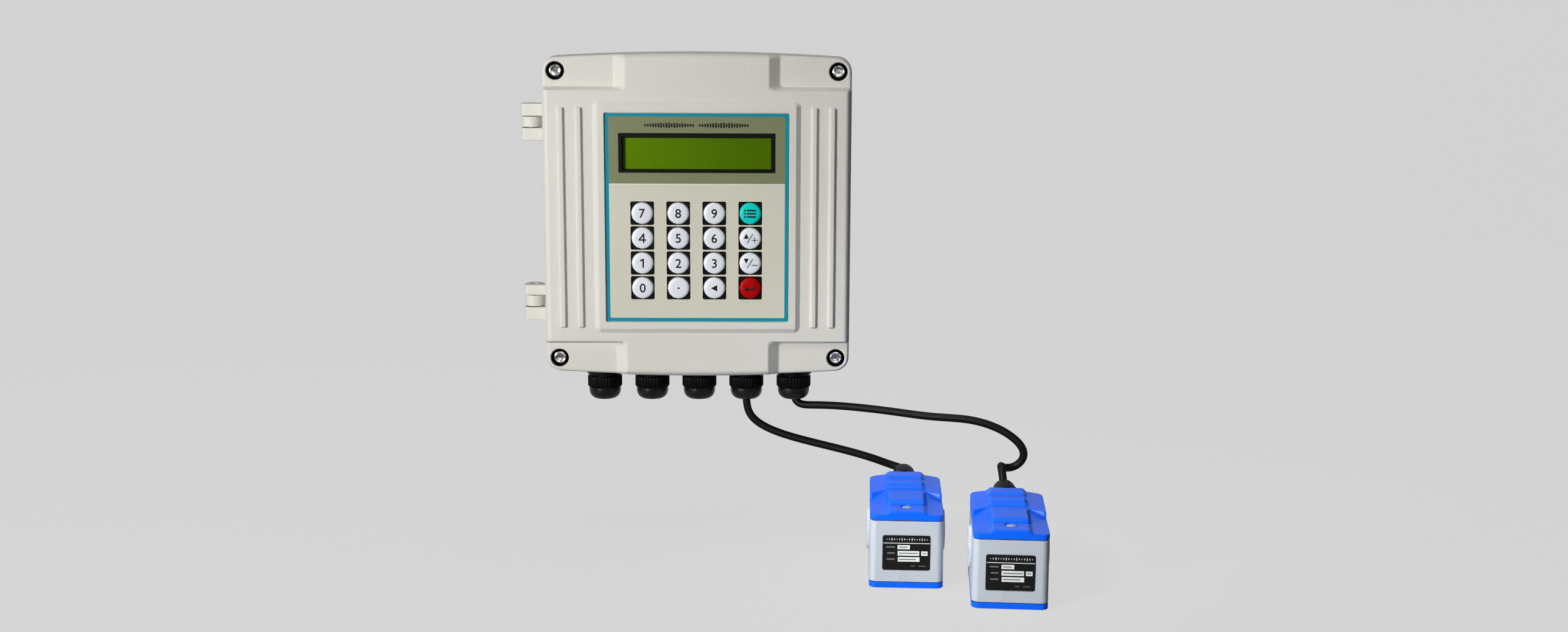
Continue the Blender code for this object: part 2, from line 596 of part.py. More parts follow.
# columns of WEDGE and REAR_HOLLOW: b, h
REAR_HOLLOW = [(51.5, 35.0), (51.5, 43.0), (56.2, 43.0), (56.2, 44.15), (61.4, 44.15),
               (61.4, 35.0)]
COVER_RINGS = (   # outer edge of the wings, foot of the ridge, ridge: (b, h) each
    (-1.0, 38.9, -1.0, 39.2, -1.0, 40.6), (0.3, 38.95, 0.3, 39.25, 0.3, 40.7),
    (1.1, 39.4, 1.1, 39.75, 1.1, 41.35), (13.4, 39.3, 13.8, 39.85, 14.3, 41.4),
    (15.3, 39.3, 15.6, 40.0, 15.9, 43.0), (31.6, 39.4, 32.5, 40.6, 33.5, 43.0),
    (32.6, 41.9, 36.2, 42.5, 37.6, 43.0), (36.0, 42.0, 38.5, 42.65, 39.2, 44.3),
    (42.0, 42.1, 42.4, 42.9, 42.8, 44.3), (43.6, 42.15, 43.6, 43.0, 44.0, 45.1),
    (46.5, 42.2, 46.8, 43.1, 47.0, 45.1), (47.4, 42.2, 47.8, 43.1, 48.1, 44.35),
    (52.4, 42.3, 52.4, 43.2, 52.8, 44.35), (54.4, 42.35, 54.5, 43.3, 54.8, 45.4),
    (65.0, 42.6, 65.0, 43.6, 65.0, 45.45))
SENSOR_GLAND = [                   # radius, b
    (5.8, 58.6), (5.8, 61.1), (5.0, 61.1), (5.0, 64.4), (8.0, 64.4), (8.0, 71.9), (6.7, 72.3),
    (6.6, 78.0), (6.3, 83.5), (5.6, 87.2), (4.1, SGLAND_END), (GLAND_BORE_R, 87.0),
    (GLAND_BORE_R, 58.6)]


def sensor_outline(inset):
    return round_rect(-SENSOR_HALF + inset, SENSOR_HALF - inset,
                      inset, SENSOR_L - inset, SENSOR_R)


def sensor_gland_hole():
    return turn([(5.3, 60.0), (5.3, 66.0)], (0, 0, SGLAND_H), REARWARD, 16)


def build_sensor_housing(name, frame):
    rings = [[(a, b, h) for a, b in sensor_outline(inset)]
             for h, inset in ((SHOE_H + GAP, 0.0), (SPLIT_H, 0.2))]
    shell = make(f"{name}_housing", loft(rings), "sensor_grey", parent=frame)
    inside = round_rect(-16.7, 16.7, 2.6, 61.4, 1.2, 1)
    cut(shell, "hollow", prism_h(inside, 2.0, 38.0), parent=frame)
    side_boss = [(10.9, 18.0), (10.9, 20.6), (10.3, 21.0)]
    add(shell, "bosses", box(-4.5, 4.5, 1.2, 17.0, 25.0, SPLIT_H - 0.2),
        *[turn(side_boss, (0, 32.0, 22.5), (s, 0, 0), 24) for s in (-1, 1)], parent=frame)
    cut(shell, "openings", sensor_gland_hole(),
        turn([(COVER_HOLE_R, 27.5), (COVER_HOLE_R, 38.0)], (0, SCREW_B, 0), UP, 12),
        box(-LABEL_HALF, LABEL_HALF, -1.0, 0.75, LABEL_H0, LABEL_H1), parent=frame)


def build_sensor_shoe(name, frame):
    shoe = make(f"{name}_coupling_shoe", prism_h(sensor_outline(0.0), 0.0, SHOE_H),
                "sensor_blue", parent=frame)
    add(shoe, "wedge", prism_a(WEDGE, 11.0), parent=frame)
    # the disc lies just above the middle of the wedge's sloping face
    (b1, h1), (b0, h0) = WEDGE[2:4]
    centre = (0, (b0 + b1) / 2, (h0 + h1) / 2)
    make(f"{name}_piezo_disc", turn([(8.0, 0.35), (8.0, 1.85)], centre, (0, h0 - h1, b1 - b0), 16),
         "piezo_ceramic", parent=frame)


def cover_ring(wing_b, wing_h, foot_b, foot_h, ridge_b, ridge_h):
    wide, shoulder, foot, top = 20.5, 18.6, 10.85, 8.8
    left = [(-wide, wing_b, 35.0), (-wide, wing_b, wing_h - 1.3), (-shoulder, wing_b, wing_h),
            (-foot, foot_b, foot_h), (-top, ridge_b, ridge_h)]
    return left + [(-a, b, h) for a, b, h in left[::-1]]


def triangulated(shape):
    """Same shape with its side quads split, so that the side faces are flat."""
    points, faces = shape
    split = []
    for f in faces:
        split += [(f[0], f[1], f[2]), (f[0], f[2], f[3])] if len(f) == 4 else [f]
    return points, split


def build_sensor_cover(name, frame):
    cover = make(f"{name}_cover", triangulated(loft([cover_ring(*r) for r in COVER_RINGS])),
                 "sensor_blue", parent=frame)
    plan = prism_h(sensor_outline(0.1), SPLIT_H + GAP, 60.0)
    boolean(cover, "INTERSECT", "plan_shape", [plan], frame)
    cut(cover, "hollow", box(-7.2, 7.2, 17.5, 50.0, 35.0, 40.6), prism_a(REAR_HOLLOW, 7.2),
        parent=frame)
    screw_hole = [(COVER_HOLE_R, 35.0), (COVER_HOLE_R, 40.0), (3.15, 40.0), (3.15, 44.0)]
    cut(cover, "openings", sensor_gland_hole(), turn(screw_hole, (0, SCREW_B, 0), UP, 16),
        box(-5.0, 5.0, -1.0, 1.4, 35.5, 37.1), parent=frame)

    profile = [(1.5, 28.5), (1.5, 40.3), (2.8, 40.3), (2.8, 41.0), (2.3, 41.3)]
    screw = make(f"{name}_cover_screw", turn(profile, (0, SCREW_B, 0), UP, 12), "steel",
                 origin=(0, SCREW_B, 40.3), parent=frame)
    reach, half = 1.8, 0.35    # cross slot
    cut(screw, "slot_1", box(-reach, reach, SCREW_B - half, SCREW_B + half, 40.7, 42.0),
        parent=frame)
    cut(screw, "slot_2", box(-half, half, SCREW_B - reach, SCREW_B + reach, 40.71, 42.1),
        parent=frame)


def build_sensor(key):
    (x, y), yaw = SENSORS[key]
    name = f"sensor_{key}"
    frame = empty(f"{name}_frame", (x, y, SENSOR_Z), (0.0, 0.0, 0.0), yaw)
    build_sensor_housing(name, frame)
    build_sensor_shoe(name, frame)
    build_sensor_cover(name, frame)
    make(f"{name}_gland", turn(SENSOR_GLAND, (0, 0, SGLAND_H), REARWARD, 16, tube=True),
         "gland_black", origin=(0, 64.4, SGLAND_H), parent=frame)
    half = LABEL_HALF - GAP
    make(f"{name}_label_plate", box(-half, half, 0.05, 0.4, LABEL_H0 + GAP, LABEL_H1 - GAP),
         "label_black", parent=frame)


# ---------------------------------------------------------------- signal cables
# per sensor: gland x, z in the gland, free points (x, y, z), b in the sensor gland
ROUTES = {
    "a": (GLAND_X[3], (-74, -84, -94, -103, -112),
          [(29.5, -25.2, -120), (41, -27, -127), (60, -30, -132), (82, -35, -136),
           (99, -38.5, -140), (110, -38, -144.5), (117.6, -40.5, -146)],
          (92, 84, 75, 66, 57)),
    "b": (GLAND_X[4], (-74, -84, -94, -101, -107.5),
          [(57.5, -26.6, -112.2), (67, -30, -111), (84, -35, -110.6), (108, -44, -111.2),
           (132, -53, -113), (152, -58.5, -112), (169, -63, -116.5), (180.5, -66.5, -124.5),
           (183.2, -66.5, -132.5), (177.5, -64, -139.3), (170, -66, -138.8),
           (168.4, -71.5, -134.8), (169.3, -76.3, -141), (169.2, -79.6, -145.8)],
          (87, 79, 71, 64, 57)),
}


def on_gland_axis(key, b):
    (x, y), yaw = SENSORS[key]
    t = math.radians(yaw)
    return (x - b * math.sin(t), y + b * math.cos(t), SENSOR_Z + SGLAND_H)


def build_cable(key):
    gland_x, heights, free, depths = ROUTES[key]
    control = [(gland_x, -GLAND_D, z) for z in heights] + free
    control += [on_gland_axis(key, b) for b in depths]
    make(f"sensor_{key}_cable", hose(spline(control, CABLE_STEPS), CABLE_R, CABLE_SIDES),
         "cable_black")


# ---------------------------------------------------------------- assembly
build_base()
build_hinge_pins()
lid_hinge = empty("lid_hinge_axis", HINGE_ORIGIN, HINGE_ORIGIN)
for build in (build_lid, build_lid_screws, build_overlay, build_keypad, build_display):
    build(lid_hinge)
build_main_board()
build_terminal_block()
build_ribbon()
build_glands()
for sensor_key in SENSORS:
    build_sensor(sensor_key)
for sensor_key in ROUTES:
    build_cable(sensor_key)
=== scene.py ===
"""A wall-mounted converter with a hinged lid, display and keypad, and two transducers cabled to it.

X runs right, Z up and the front faces -Y. The converter is centred on the origin with its back
on Y = 0, and the transducers stand below it at the right. Sizes are in mm up to make(). Points of
the converter are given as x, z and d, the distance in front of the wall (y = -d).
"""
import math
import bmesh
import bpy
from mathutils import Matrix, Vector
from mathutils.geometry import delaunay_2d_cdt


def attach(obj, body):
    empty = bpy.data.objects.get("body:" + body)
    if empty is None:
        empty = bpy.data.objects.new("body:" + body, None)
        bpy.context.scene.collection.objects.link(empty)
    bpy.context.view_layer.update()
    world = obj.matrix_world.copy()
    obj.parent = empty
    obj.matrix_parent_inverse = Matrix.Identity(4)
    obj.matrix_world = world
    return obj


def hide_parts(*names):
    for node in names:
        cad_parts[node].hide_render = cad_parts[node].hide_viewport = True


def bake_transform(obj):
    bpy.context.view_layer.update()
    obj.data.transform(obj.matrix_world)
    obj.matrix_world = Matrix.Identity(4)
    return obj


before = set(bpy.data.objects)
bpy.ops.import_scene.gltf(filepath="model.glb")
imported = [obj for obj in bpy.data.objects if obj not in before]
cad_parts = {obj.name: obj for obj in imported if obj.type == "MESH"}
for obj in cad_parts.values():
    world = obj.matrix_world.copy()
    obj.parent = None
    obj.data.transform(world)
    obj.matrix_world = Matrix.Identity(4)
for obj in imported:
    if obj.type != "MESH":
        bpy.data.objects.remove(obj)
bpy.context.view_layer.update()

MM = 0.001

# ---------------------------------------------------------------- dimensions
HALF_W, HALF_H = 85.0, 90.0
EDGE_SAG = 2.8                      # fall of the curved top and bottom edges towards the corners
CORNER_R = 8.5
PART_D, GAP, LID_D = 36.0, 0.3, 54.0    # front of the base, gap to the lid, front of the lid
LID_BACK = PART_D + GAP
SCREW_X, SCREW_Z = 77.2, 79.7
HINGE_X, HINGE_D = -91.9, 36.3
KNUCKLE_R, PIN_R, BORE_R = 5.5, 2.0, 2.08
# z range of the upper lid knuckle, the base knuckle and the lower lid knuckle
HINGES = {
    "upper": ((54.6, 61.4), (48.4, 54.2), (41.1, 48.0)),
    "lower": ((-45.3, -39.6), (-51.9, -45.7), (-59.6, -52.3)),
}
SEAL_X1, SEAL_Z1, SEAL_X2, SEAL_Z2 = 81.6, 69.0, 67.0, 84.8     # centre line of the lid seal
LID_BOSS = (54.0, 50.0)             # x, z of the four keypad board bosses
BASE_BOSS = (62.0, 54.0)            # x, z of the four main board bosses

OVERLAY_X, OVERLAY_Z0, OVERLAY_Z1 = 50.1, -57.8, 57.1
KEY_X = (-30.1, -10.35, 9.45, 29.2)
KEY_Z = (2.5, -11.25, -25.15, -39.0)
KEY_CENTRES = [(x, z) for x in KEY_X for z in KEY_Z]
KEY_NAMES = (("7", "8", "9", "menu"), ("4", "5", "6", "up"),
             ("1", "2", "3", "down"), ("0", "dot", "left", "enter"))

GLAND_X = (-54.2, -27.0, 0.0, 27.0, 54.2)
GLAND_D, RIB_COUNT, CABLE_R = 25.0, 36, 2.2

SENSORS = {"a": ((110.9, -140.0), -3.5), "b": ((160.55, -172.5), -5.3)}     # (x, y), yaw in degrees
SENSOR_Z = -183.5
SENSOR_HALF_W, SENSOR_LENGTH, SENSOR_R, SPLIT_H = 19.3, 64.0, 3.6, 36.0
SENSOR_GLAND_H, COVER_SCREW_B = 38.0, 9.5


# ---------------------------------------------------------------- materials
def srgb(red, green, blue):
    """Linear colour from display values 0 to 255."""
    return tuple(((c / 255 + 0.055) / 1.055) ** 2.4 if c > 10 else c / 255 / 12.92
                 for c in (red, green, blue))


def set_inputs(tree, node, inputs):
    """Set each input to its value, or link it where an output is given."""
    for key, value in inputs.items():
        if isinstance(value, bpy.types.NodeSocket):
            tree.links.new(value, node.inputs[key])
        else:
            node.inputs[key].default_value = value


def add_node(tree, kind, inputs, **properties):
    node = tree.nodes.new("ShaderNode" + kind)
    for key, value in properties.items():
        setattr(node, key, value)
    set_inputs(tree, node, inputs)
    return node


def noise(tree, inputs):
    return add_node(tree, "TexNoise", inputs).outputs["Fac"]


def remap(tree, value, span=(0.0, 1.0), to=(0.0, 1.0)):
    return add_node(tree, "MapRange", {
        "Value": value, "From Min": span[0], "From Max": span[1],
        "To Min": to[0], "To Max": to[1]}).outputs[0]


def mix_colours(tree, factor, first, second):
    inputs = {0: factor, 6: first, 7: second}       # the colour sockets of a Mix node
    return add_node(tree, "Mix", inputs, data_type="RGBA").outputs[2]


def multiply(tree, first, second):
    return add_node(tree, "Math", {0: first, 1: second}, operation="MULTIPLY").outputs[0]


def multiply_add(tree, value, factor, addend):
    inputs = {0: value, 1: factor, 2: addend}
    return add_node(tree, "Math", inputs, operation="MULTIPLY_ADD").outputs[0]


def new_material(name):
    mat = bpy.data.materials.new(name)
    mat.use_nodes = True
    return mat, mat.node_tree


def finish(name, colour, rough, metal=0.0, vary=0.05, scale=45.0, bump=0.0, bump_scale=1100.0,
           speckle=0.0, edge=0.15, spec=0.5, fade=None):
    """Principled finish with noise in its colour and roughness.

    vary, scale: relative colour spread and its noise scale. bump: height of the fine relief, mm.
    speckle: strength of white dots, which use the relief's noise. edge: radius of softened
    edges, mm. fade: (x0, x1, colour) changes the colour along X between two places in mm.
    """
    mat, tree = new_material(name)
    shader = tree.nodes["Principled BSDF"]
    where = add_node(tree, "TexCoord", {}).outputs["Object"]
    mottle = noise(tree, {"Vector": where, "Scale": scale, "Detail": 3.0})
    tint = mix_colours(tree, mottle, (*[c * (1 - vary) for c in colour], 1),
                       (*[min(1.0, c * (1 + vary)) for c in colour], 1))
    if fade:
        x0, x1, other = fade
        x = add_node(tree, "SeparateXYZ", {0: where}).outputs[0]
        tint = mix_colours(tree, remap(tree, x, span=(x0 * MM, x1 * MM)), tint, (*other, 1))
    if bump:
        fine = noise(tree, {"Vector": where, "Scale": bump_scale, "Detail": 1.5})
    if speckle:
        dots = remap(tree, fine, span=(0.60, 0.76), to=(0.0, speckle))
        tint = mix_colours(tree, dots, tint, (1, 1, 1, 1))
    rough_range = (max(0.02, rough - 0.06), min(1.0, rough + 0.06))
    set_inputs(tree, shader, {
        "Base Color": tint, "Roughness": remap(tree, mottle, to=rough_range),
        "Metallic": metal, "Specular IOR Level": spec, "Coat Roughness": 0.12})
    normal = None
    if edge:
        normal = add_node(tree, "Bevel", {"Radius": edge * MM}, samples=3).outputs[0]
    if bump:
        relief = {"Strength": 1.0, "Distance": bump * MM, "Height": fine}
        if normal:
            relief["Normal"] = normal
        normal = add_node(tree, "Bump", relief).outputs[0]
    if normal:
        set_inputs(tree, shader, {"Normal": normal})
    mat.diffuse_color = (*colour, 1.0)
    return mat


def clear_window():
    """Transparent, with a faint gloss at grazing angles."""
    mat, tree = new_material("clear_window")
    rough = remap(tree, noise(tree, {"Scale": 60.0}), to=(0.04, 0.09))
    gloss = add_node(tree, "BsdfGlossy", {"Roughness": rough})
    clear = add_node(tree, "BsdfTransparent", {"Color": (0.97, 0.98, 0.97, 1)})
    facing = add_node(tree, "Fresnel", {"IOR": 1.1})
    blend = add_node(tree, "MixShader",
                     {0: facing.outputs[0], 1: clear.outputs[0], 2: gloss.outputs[0]})
    set_inputs(tree, tree.nodes["Material Output"], {"Surface": blend.outputs[0]})
    return mat


# housing
PAINT = finish("powder_coat", srgb(213, 211, 204), rough=0.5, vary=0.02, bump=0.15,
               bump_scale=1180.0, speckle=0.10, edge=0.3, spec=0.35)
PLATE = finish("cast_inside", srgb(205, 203, 196), rough=0.6, vary=0.03, bump=0.05, edge=0.2)
# overlay film and its print
TEAL = finish("film_teal", srgb(8, 141, 161), rough=0.5, vary=0.03, edge=0.0, bump=0.004,
              spec=0.12)
OLIVE = finish("film_olive", srgb(122, 128, 94), rough=0.45, scale=25.0, edge=0.0, bump=0.004,
               spec=0.3)
CREAM = finish("film_cream", srgb(207, 205, 189), rough=0.42, vary=0.02, scale=25.0, edge=0.0,
               bump=0.004)
PALE = finish("film_line", srgb(226, 226, 214), rough=0.42, vary=0.02, edge=0.0)
PRINT = finish("print_black", srgb(10, 11, 10), rough=0.5, vary=0.1, edge=0.0, spec=0.2)
BLACK = finish("black_plastic", srgb(7, 7, 7), rough=0.5, vary=0.1, bump=0.01, edge=0.12,
               spec=0.12)
# keys
WHITE_KEY = finish("key_white", srgb(227, 230, 237), rough=0.3, vary=0.01, edge=0.0)
TEAL_KEY = finish("key_teal", srgb(10, 204, 194), rough=0.35, vary=0.03, edge=0.0, spec=0.2)
RED_KEY = finish("key_red", srgb(168, 0, 4), rough=0.4, vary=0.03, edge=0.0, spec=0.1)
# metal, seal and display
CHROME = finish("screw_steel", (0.78, 0.77, 0.77), rough=0.16, metal=1.0, vary=0.04, bump=0.07,
                bump_scale=700.0, edge=0.12)
SATIN = finish("steel_satin", (0.55, 0.55, 0.56), rough=0.35, metal=1.0, bump=0.004, edge=0.1)
RUBBER = finish("seal_rubber", srgb(30, 30, 30), rough=0.8, vary=0.1, bump=0.02, edge=0.1)
GREEN_LCD = finish("display_green", srgb(96, 132, 2), rough=0.5, vary=0.14, scale=110.0,
                   bump=0.004, edge=0.0, spec=0.04, fade=(-40.0, 26.0, srgb(82, 112, 1)))
# glands and cables
GLAND = finish("gland_black", srgb(5, 5, 6), rough=0.28, vary=0.1, scale=90.0, bump=0.006,
               edge=0.0)
DULL = finish("gland_dull", srgb(4, 4, 5), rough=0.42, vary=0.1, scale=90.0, bump=0.006,
              edge=0.0, spec=0.05)
# dark lining of the lid's screw wells: painted shade inside the wells
WELL_SHADE = finish("well_painted_shade", srgb(26, 25, 21), rough=0.6, vary=0.1, bump=0.01, edge=0.0, spec=0.1)
GLAND_RIB = finish("gland_ribbed", srgb(3, 3, 4), rough=0.45, vary=0.1, scale=90.0, bump=0.008,
                   edge=0.0, spec=0.1)
CABLE = finish("cable_black", srgb(5, 6, 5), rough=0.5, vary=0.1, bump=0.01, bump_scale=2200.0,
               edge=0.0, spec=0.16)
# transducers
GREY = finish("sensor_grey", srgb(184, 192, 202), rough=0.46, vary=0.015, bump=0.012,
              bump_scale=1800.0, edge=0.2, spec=0.8)
BLUE = finish("sensor_blue", srgb(2, 99, 246), rough=0.38, vary=0.02, bump=0.006,
              bump_scale=1500.0, edge=0.25, spec=0.3)
LABEL = finish("label_black", srgb(14, 14, 14), rough=0.45, vary=0.06, edge=0.0, spec=0.25)
MARK = finish("label_white", srgb(222, 226, 226), rough=0.45, vary=0.02, edge=0.0)
MARK_DIM = finish("label_grey", srgb(112, 114, 114), rough=0.45, vary=0.03, edge=0.0)
# electronics
PCB = finish("board_green", srgb(22, 92, 52), rough=0.38, vary=0.12, scale=320.0, bump=0.015,
             bump_scale=700.0, edge=0.0)
TERMINAL = finish("terminal_green", srgb(42, 150, 92), rough=0.4, vary=0.04, bump=0.01)
CERAMIC = finish("piezo_ceramic", srgb(214, 208, 190), rough=0.5, vary=0.04, bump=0.02, edge=0.1)
RIBBON = finish("ribbon_grey", srgb(168, 169, 172), rough=0.55, vary=0.04, bump=0.02, edge=0.0)
BLUE_PART = finish("part_blue", srgb(30, 70, 140), rough=0.35, bump=0.01)
TAPE = finish("part_yellow", srgb(196, 160, 60), rough=0.45, bump=0.02)
TIN = finish("solder_tin", (0.66, 0.64, 0.60), rough=0.3, metal=1.0, edge=0.0)
GLASS = clear_window()


# ---------------------------------------------------------------- objects
# A shape is (points in mm, faces).
def smooth(obj, sharp):
    obj.data.shade_smooth()
    obj.data.set_sharp_from_angle(angle=math.radians(sharp))


def make(name, shape, *mats, index=None, sharp=30.0):
    """Object from a shape; index is the material number of each face."""
    mesh = bpy.data.meshes.new(name)
    mesh.from_pydata([[c * MM for c in p] for p in shape[0]], [], shape[1])
    for mat in mats:
        mesh.materials.append(mat)
    if index:
        mesh.polygons.foreach_set("material_index", index)
    bm = bmesh.new()
    bm.from_mesh(mesh)
    bmesh.ops.recalc_face_normals(bm, faces=bm.faces)
    bm.to_mesh(mesh)
    bm.free()
    obj = bpy.data.objects.new(name, mesh)
    bpy.context.scene.collection.objects.link(obj)
    smooth(obj, sharp)
    return obj


def weigh(obj):
    modifier = obj.modifiers.new("even_normals", "WEIGHTED_NORMAL")
    modifier.keep_sharp = True
    modifier.weight = 60


def evaluated_mesh(obj):
    bpy.context.view_layer.update()
    depsgraph = bpy.context.evaluated_depsgraph_get()
    return bpy.data.meshes.new_from_object(obj.evaluated_get(depsgraph))


def carve(obj, *steps, sharp=30.0):
    """Apply booleans one after the other: ("cut" | "add" | "keep", shape)."""
    kinds = {"cut": "DIFFERENCE", "add": "UNION", "keep": "INTERSECT"}
    for kind, shape in steps:
        tool = make("tool", shape)
        modifier = obj.modifiers.new("step", "BOOLEAN")
        modifier.operation, modifier.solver, modifier.object = kinds[kind], "EXACT", tool
        mesh = evaluated_mesh(obj)
        obj.modifiers.clear()
        old, obj.data = obj.data, mesh
        bpy.data.meshes.remove(old)
        discard(tool)
    smooth(obj, sharp)
    weigh(obj)
    return obj


def discard(obj):
    mesh = obj.data
    bpy.data.objects.remove(obj)
    bpy.data.meshes.remove(mesh)


def piece(obj, body, slot, *nodes):
    """Parent the object to the empty of the body that carries it and hide the nodes it replaces;
    the slot is not used.
    """
    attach(obj, body)
    if nodes:
        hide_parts(*nodes)


def part(name, shape, mat, body, slot, *nodes, sharp=30.0):
    piece(make(name, shape, mat, sharp=sharp), body, slot, *nodes)


# ---------------------------------------------------------------- shapes
def take_shape(bm):
    """Shape of a bmesh, which is freed."""
    bmesh.ops.recalc_face_normals(bm, faces=bm.faces)
    bm.verts.index_update()
    shape = [tuple(v.co) for v in bm.verts], [tuple(v.index for v in f.verts) for f in bm.faces]
    bm.free()
    return shape


def bevelled(shape, width, segments=2, angle=25.0):
    """The shape with every edge sharper than the angle bevelled."""
    bm = bmesh.new()
    verts = [bm.verts.new(p) for p in shape[0]]
    for face in shape[1]:
        bm.faces.new([verts[i] for i in face])
    bmesh.ops.recalc_face_normals(bm, faces=bm.faces)
    edges = [e for e in bm.edges
             if e.is_manifold and e.calc_face_angle(0.0) > math.radians(angle)]
    bmesh.ops.bevel(bm, geom=edges, offset=width, offset_type="OFFSET", segments=segments,
                    profile=0.5, affect="EDGES", clamp_overlap=True)
    bm.verts.index_update()
    out = [tuple(v.co) for v in bm.verts], [tuple(v.index for v in f.verts) for f in bm.faces]
    bm.free()
    return out


def loft(rings, closed=False):
    """Skin over rings of equally many points, capped at the ends or closed into a tube."""
    count = len(rings[0])
    points = [p for ring in rings for p in ring]
    faces = []
    for i in range(len(rings) if closed else len(rings) - 1):
        a, b = i * count, ((i + 1) % len(rings)) * count
        faces += [(a + k, a + (k + 1) % count, b + (k + 1) % count, b + k) for k in range(count)]
    if not closed:
        faces.append(tuple(range(count))[::-1])
        last = (len(rings) - 1) * count
        faces.append(tuple(range(last, last + count)))
    return points, faces


def several(*shapes):
    points, faces = [], []
    for more_points, more_faces in shapes:
        base = len(points)
        points += list(more_points)
        faces += [tuple(i + base for i in face) for face in more_faces]
    return points, faces


def box(x0, x1, y0, y1, z0, z1):
    return loft([[(x0, y0, z), (x1, y0, z), (x1, y1, z), (x0, y1, z)] for z in (z0, z1)])


def slab(x0, x1, z0, z1, d0, d1):
    return box(x0, x1, -d1, -d0, z0, z1)


def chip(x0, x1, z0, z1, d0, d1, width, segments=2):
    return bevelled(slab(x0, x1, z0, z1, d0, d1), width, segments)


def layered(layers, closed=False):
    """Loft through (d, outline of x and z) layers."""
    return loft([[(x, -d, z) for x, z in ring] for d, ring in layers], closed)


def prism_d(ring, d0, d1):
    return layered([(d0, ring), (d1, ring)])


def turn(profile, centre, axis, sides, tube=False, phase=0.5, wobble=None):
    """Body of revolution from (radius, height) pairs.

    wobble(angle, radius, step) changes the radius round the turn.
    """
    axis = Vector(axis).normalized()
    side = Vector((0, 0, 1)) if abs(axis.z) < 0.9 else Vector((1, 0, 0))
    u = axis.cross(side).normalized()
    v = axis.cross(u)
    rings = []
    for step, (radius, height) in enumerate(profile):
        ring = []
        for k in range(sides):
            angle = 2 * math.pi * (k + phase) / sides
            r = wobble(angle, radius, step) if wobble else radius
            p = (Vector(centre) + axis * height
                 + u * (r * math.cos(angle)) + v * (r * math.sin(angle)))
            ring.append((p.x, p.y, p.z))
        rings.append(ring)
    return loft(rings, closed=tube)


def turn_d(profile, x, z, sides, **options):
    """Turned round an axis towards the front; heights are d."""
    return turn(profile, (x, 0, z), (0, -1, 0), sides, **options)


def turn_z(profile, x, d, sides, **options):
    """Turned round an upright axis; heights are z."""
    return turn(profile, (x, -d, 0), (0, 0, 1), sides, **options)


def drum(x, z, r, d0, d1, sides):
    return turn_d([(r, d0), (r, d1)], x, z, sides)


def post(x, d, r, z0, z1):
    return turn_z([(r, z0), (r, z1)], x, d, 40)


def corners(x, z):
    return [(sx * x, sz * z) for sx in (-1, 1) for sz in (-1, 1)]


def top_edge(half_w, half_h, x):
    return half_h - EDGE_SAG * (x / half_w) ** 2


def corner_arc(half_w, half_h, r):
    """Angle and x where a corner arc meets the top edge, and the z of the arc's centre."""
    end = math.pi / 2 - math.atan(2 * EDGE_SAG * (half_w - r) / half_w ** 2)
    end_x = half_w - r + r * math.cos(end)
    return end, end_x, top_edge(half_w, half_h, end_x) - r * math.sin(end)


def outline(half_w, half_h, r=CORNER_R):
    """Housing outline: straight sides, curved top and bottom, round corners."""
    corner, arc = 12, 30            # segments of a corner and of the top edge
    end, end_x, centre_z = corner_arc(half_w, half_h, r)
    upper = [(half_w - r + r * math.cos(end * k / corner),
              centre_z + r * math.sin(end * k / corner)) for k in range(corner + 1)]
    for k in range(1, arc):
        x = end_x * (1 - 2 * k / arc)
        upper.append((x, top_edge(half_w, half_h, x)))
    upper += [(-x, z) for x, z in upper[:corner + 1][::-1]]
    return upper + [(-x, -z) for x, z in upper]


def cross(x1, z1, x2, z2):
    """Rectangle with notched corners: x1 by z1 joined with x2 by z2."""
    return [(x1, -z1), (x1, z1), (x2, z1), (x2, z2), (-x2, z2), (-x2, z1),
            (-x1, z1), (-x1, -z1), (-x2, -z1), (-x2, -z2), (x2, -z2), (x2, -z1)]


def rectangle(x0, x1, z0, z1):
    return [(x0, z0), (x1, z0), (x1, z1), (x0, z1)]


def round_rect(a0, a1, b0, b1, r, corner=6):
    points = []
    for ca, cb, start in ((a1 - r, b1 - r, 0), (a0 + r, b1 - r, 90),
                          (a0 + r, b0 + r, 180), (a1 - r, b0 + r, 270)):
        for k in range(corner + 1):
            t = math.radians(start + 90 * k / corner)
            points.append((ca + r * math.cos(t), cb + r * math.sin(t)))
    return points


def beyond(x, z, cx, cz, half_x, half_z, r):
    """Signed distance outside a rounded rectangle."""
    qx, qz = abs(x - cx) - half_x + r, abs(z - cz) - half_z + r
    return math.hypot(max(qx, 0), max(qz, 0)) + min(max(qx, qz), 0) - r


def spline(control, per):
    """Uniform cubic B-spline with per points to each span."""
    pts = [Vector(p) for p in control]
    pts = [pts[0] * 2 - pts[1]] + pts + [pts[-1] * 2 - pts[-2]]
    out = []
    for i in range(len(pts) - 3):
        for k in range(per if i < len(pts) - 4 else per + 1):
            t = k / per
            weights = ((1 - t) ** 3 / 6, (3 * t ** 3 - 6 * t ** 2 + 4) / 6,
                       (-3 * t ** 3 + 3 * t ** 2 + 3 * t + 1) / 6, t ** 3 / 6)
            out.append(sum((pts[i + j] * weights[j] for j in range(4)), Vector()))
    return out


def tangent(path, i):
    return (path[min(i + 1, len(path) - 1)] - path[max(i - 1, 0)]).normalized()


def hose(path, r, sides):
    rings, normal = [], Vector((0, 1, 0))
    for i, p in enumerate(path):
        t = tangent(path, i)
        normal = (normal - t * normal.dot(t)).normalized()
        side = t.cross(normal)
        angles = [2 * math.pi * (k + 0.5) / sides for k in range(sides)]
        rings.append([tuple(p + normal * (r * math.cos(a)) + side * (r * math.sin(a)))
                      for a in angles])
    return loft(rings)


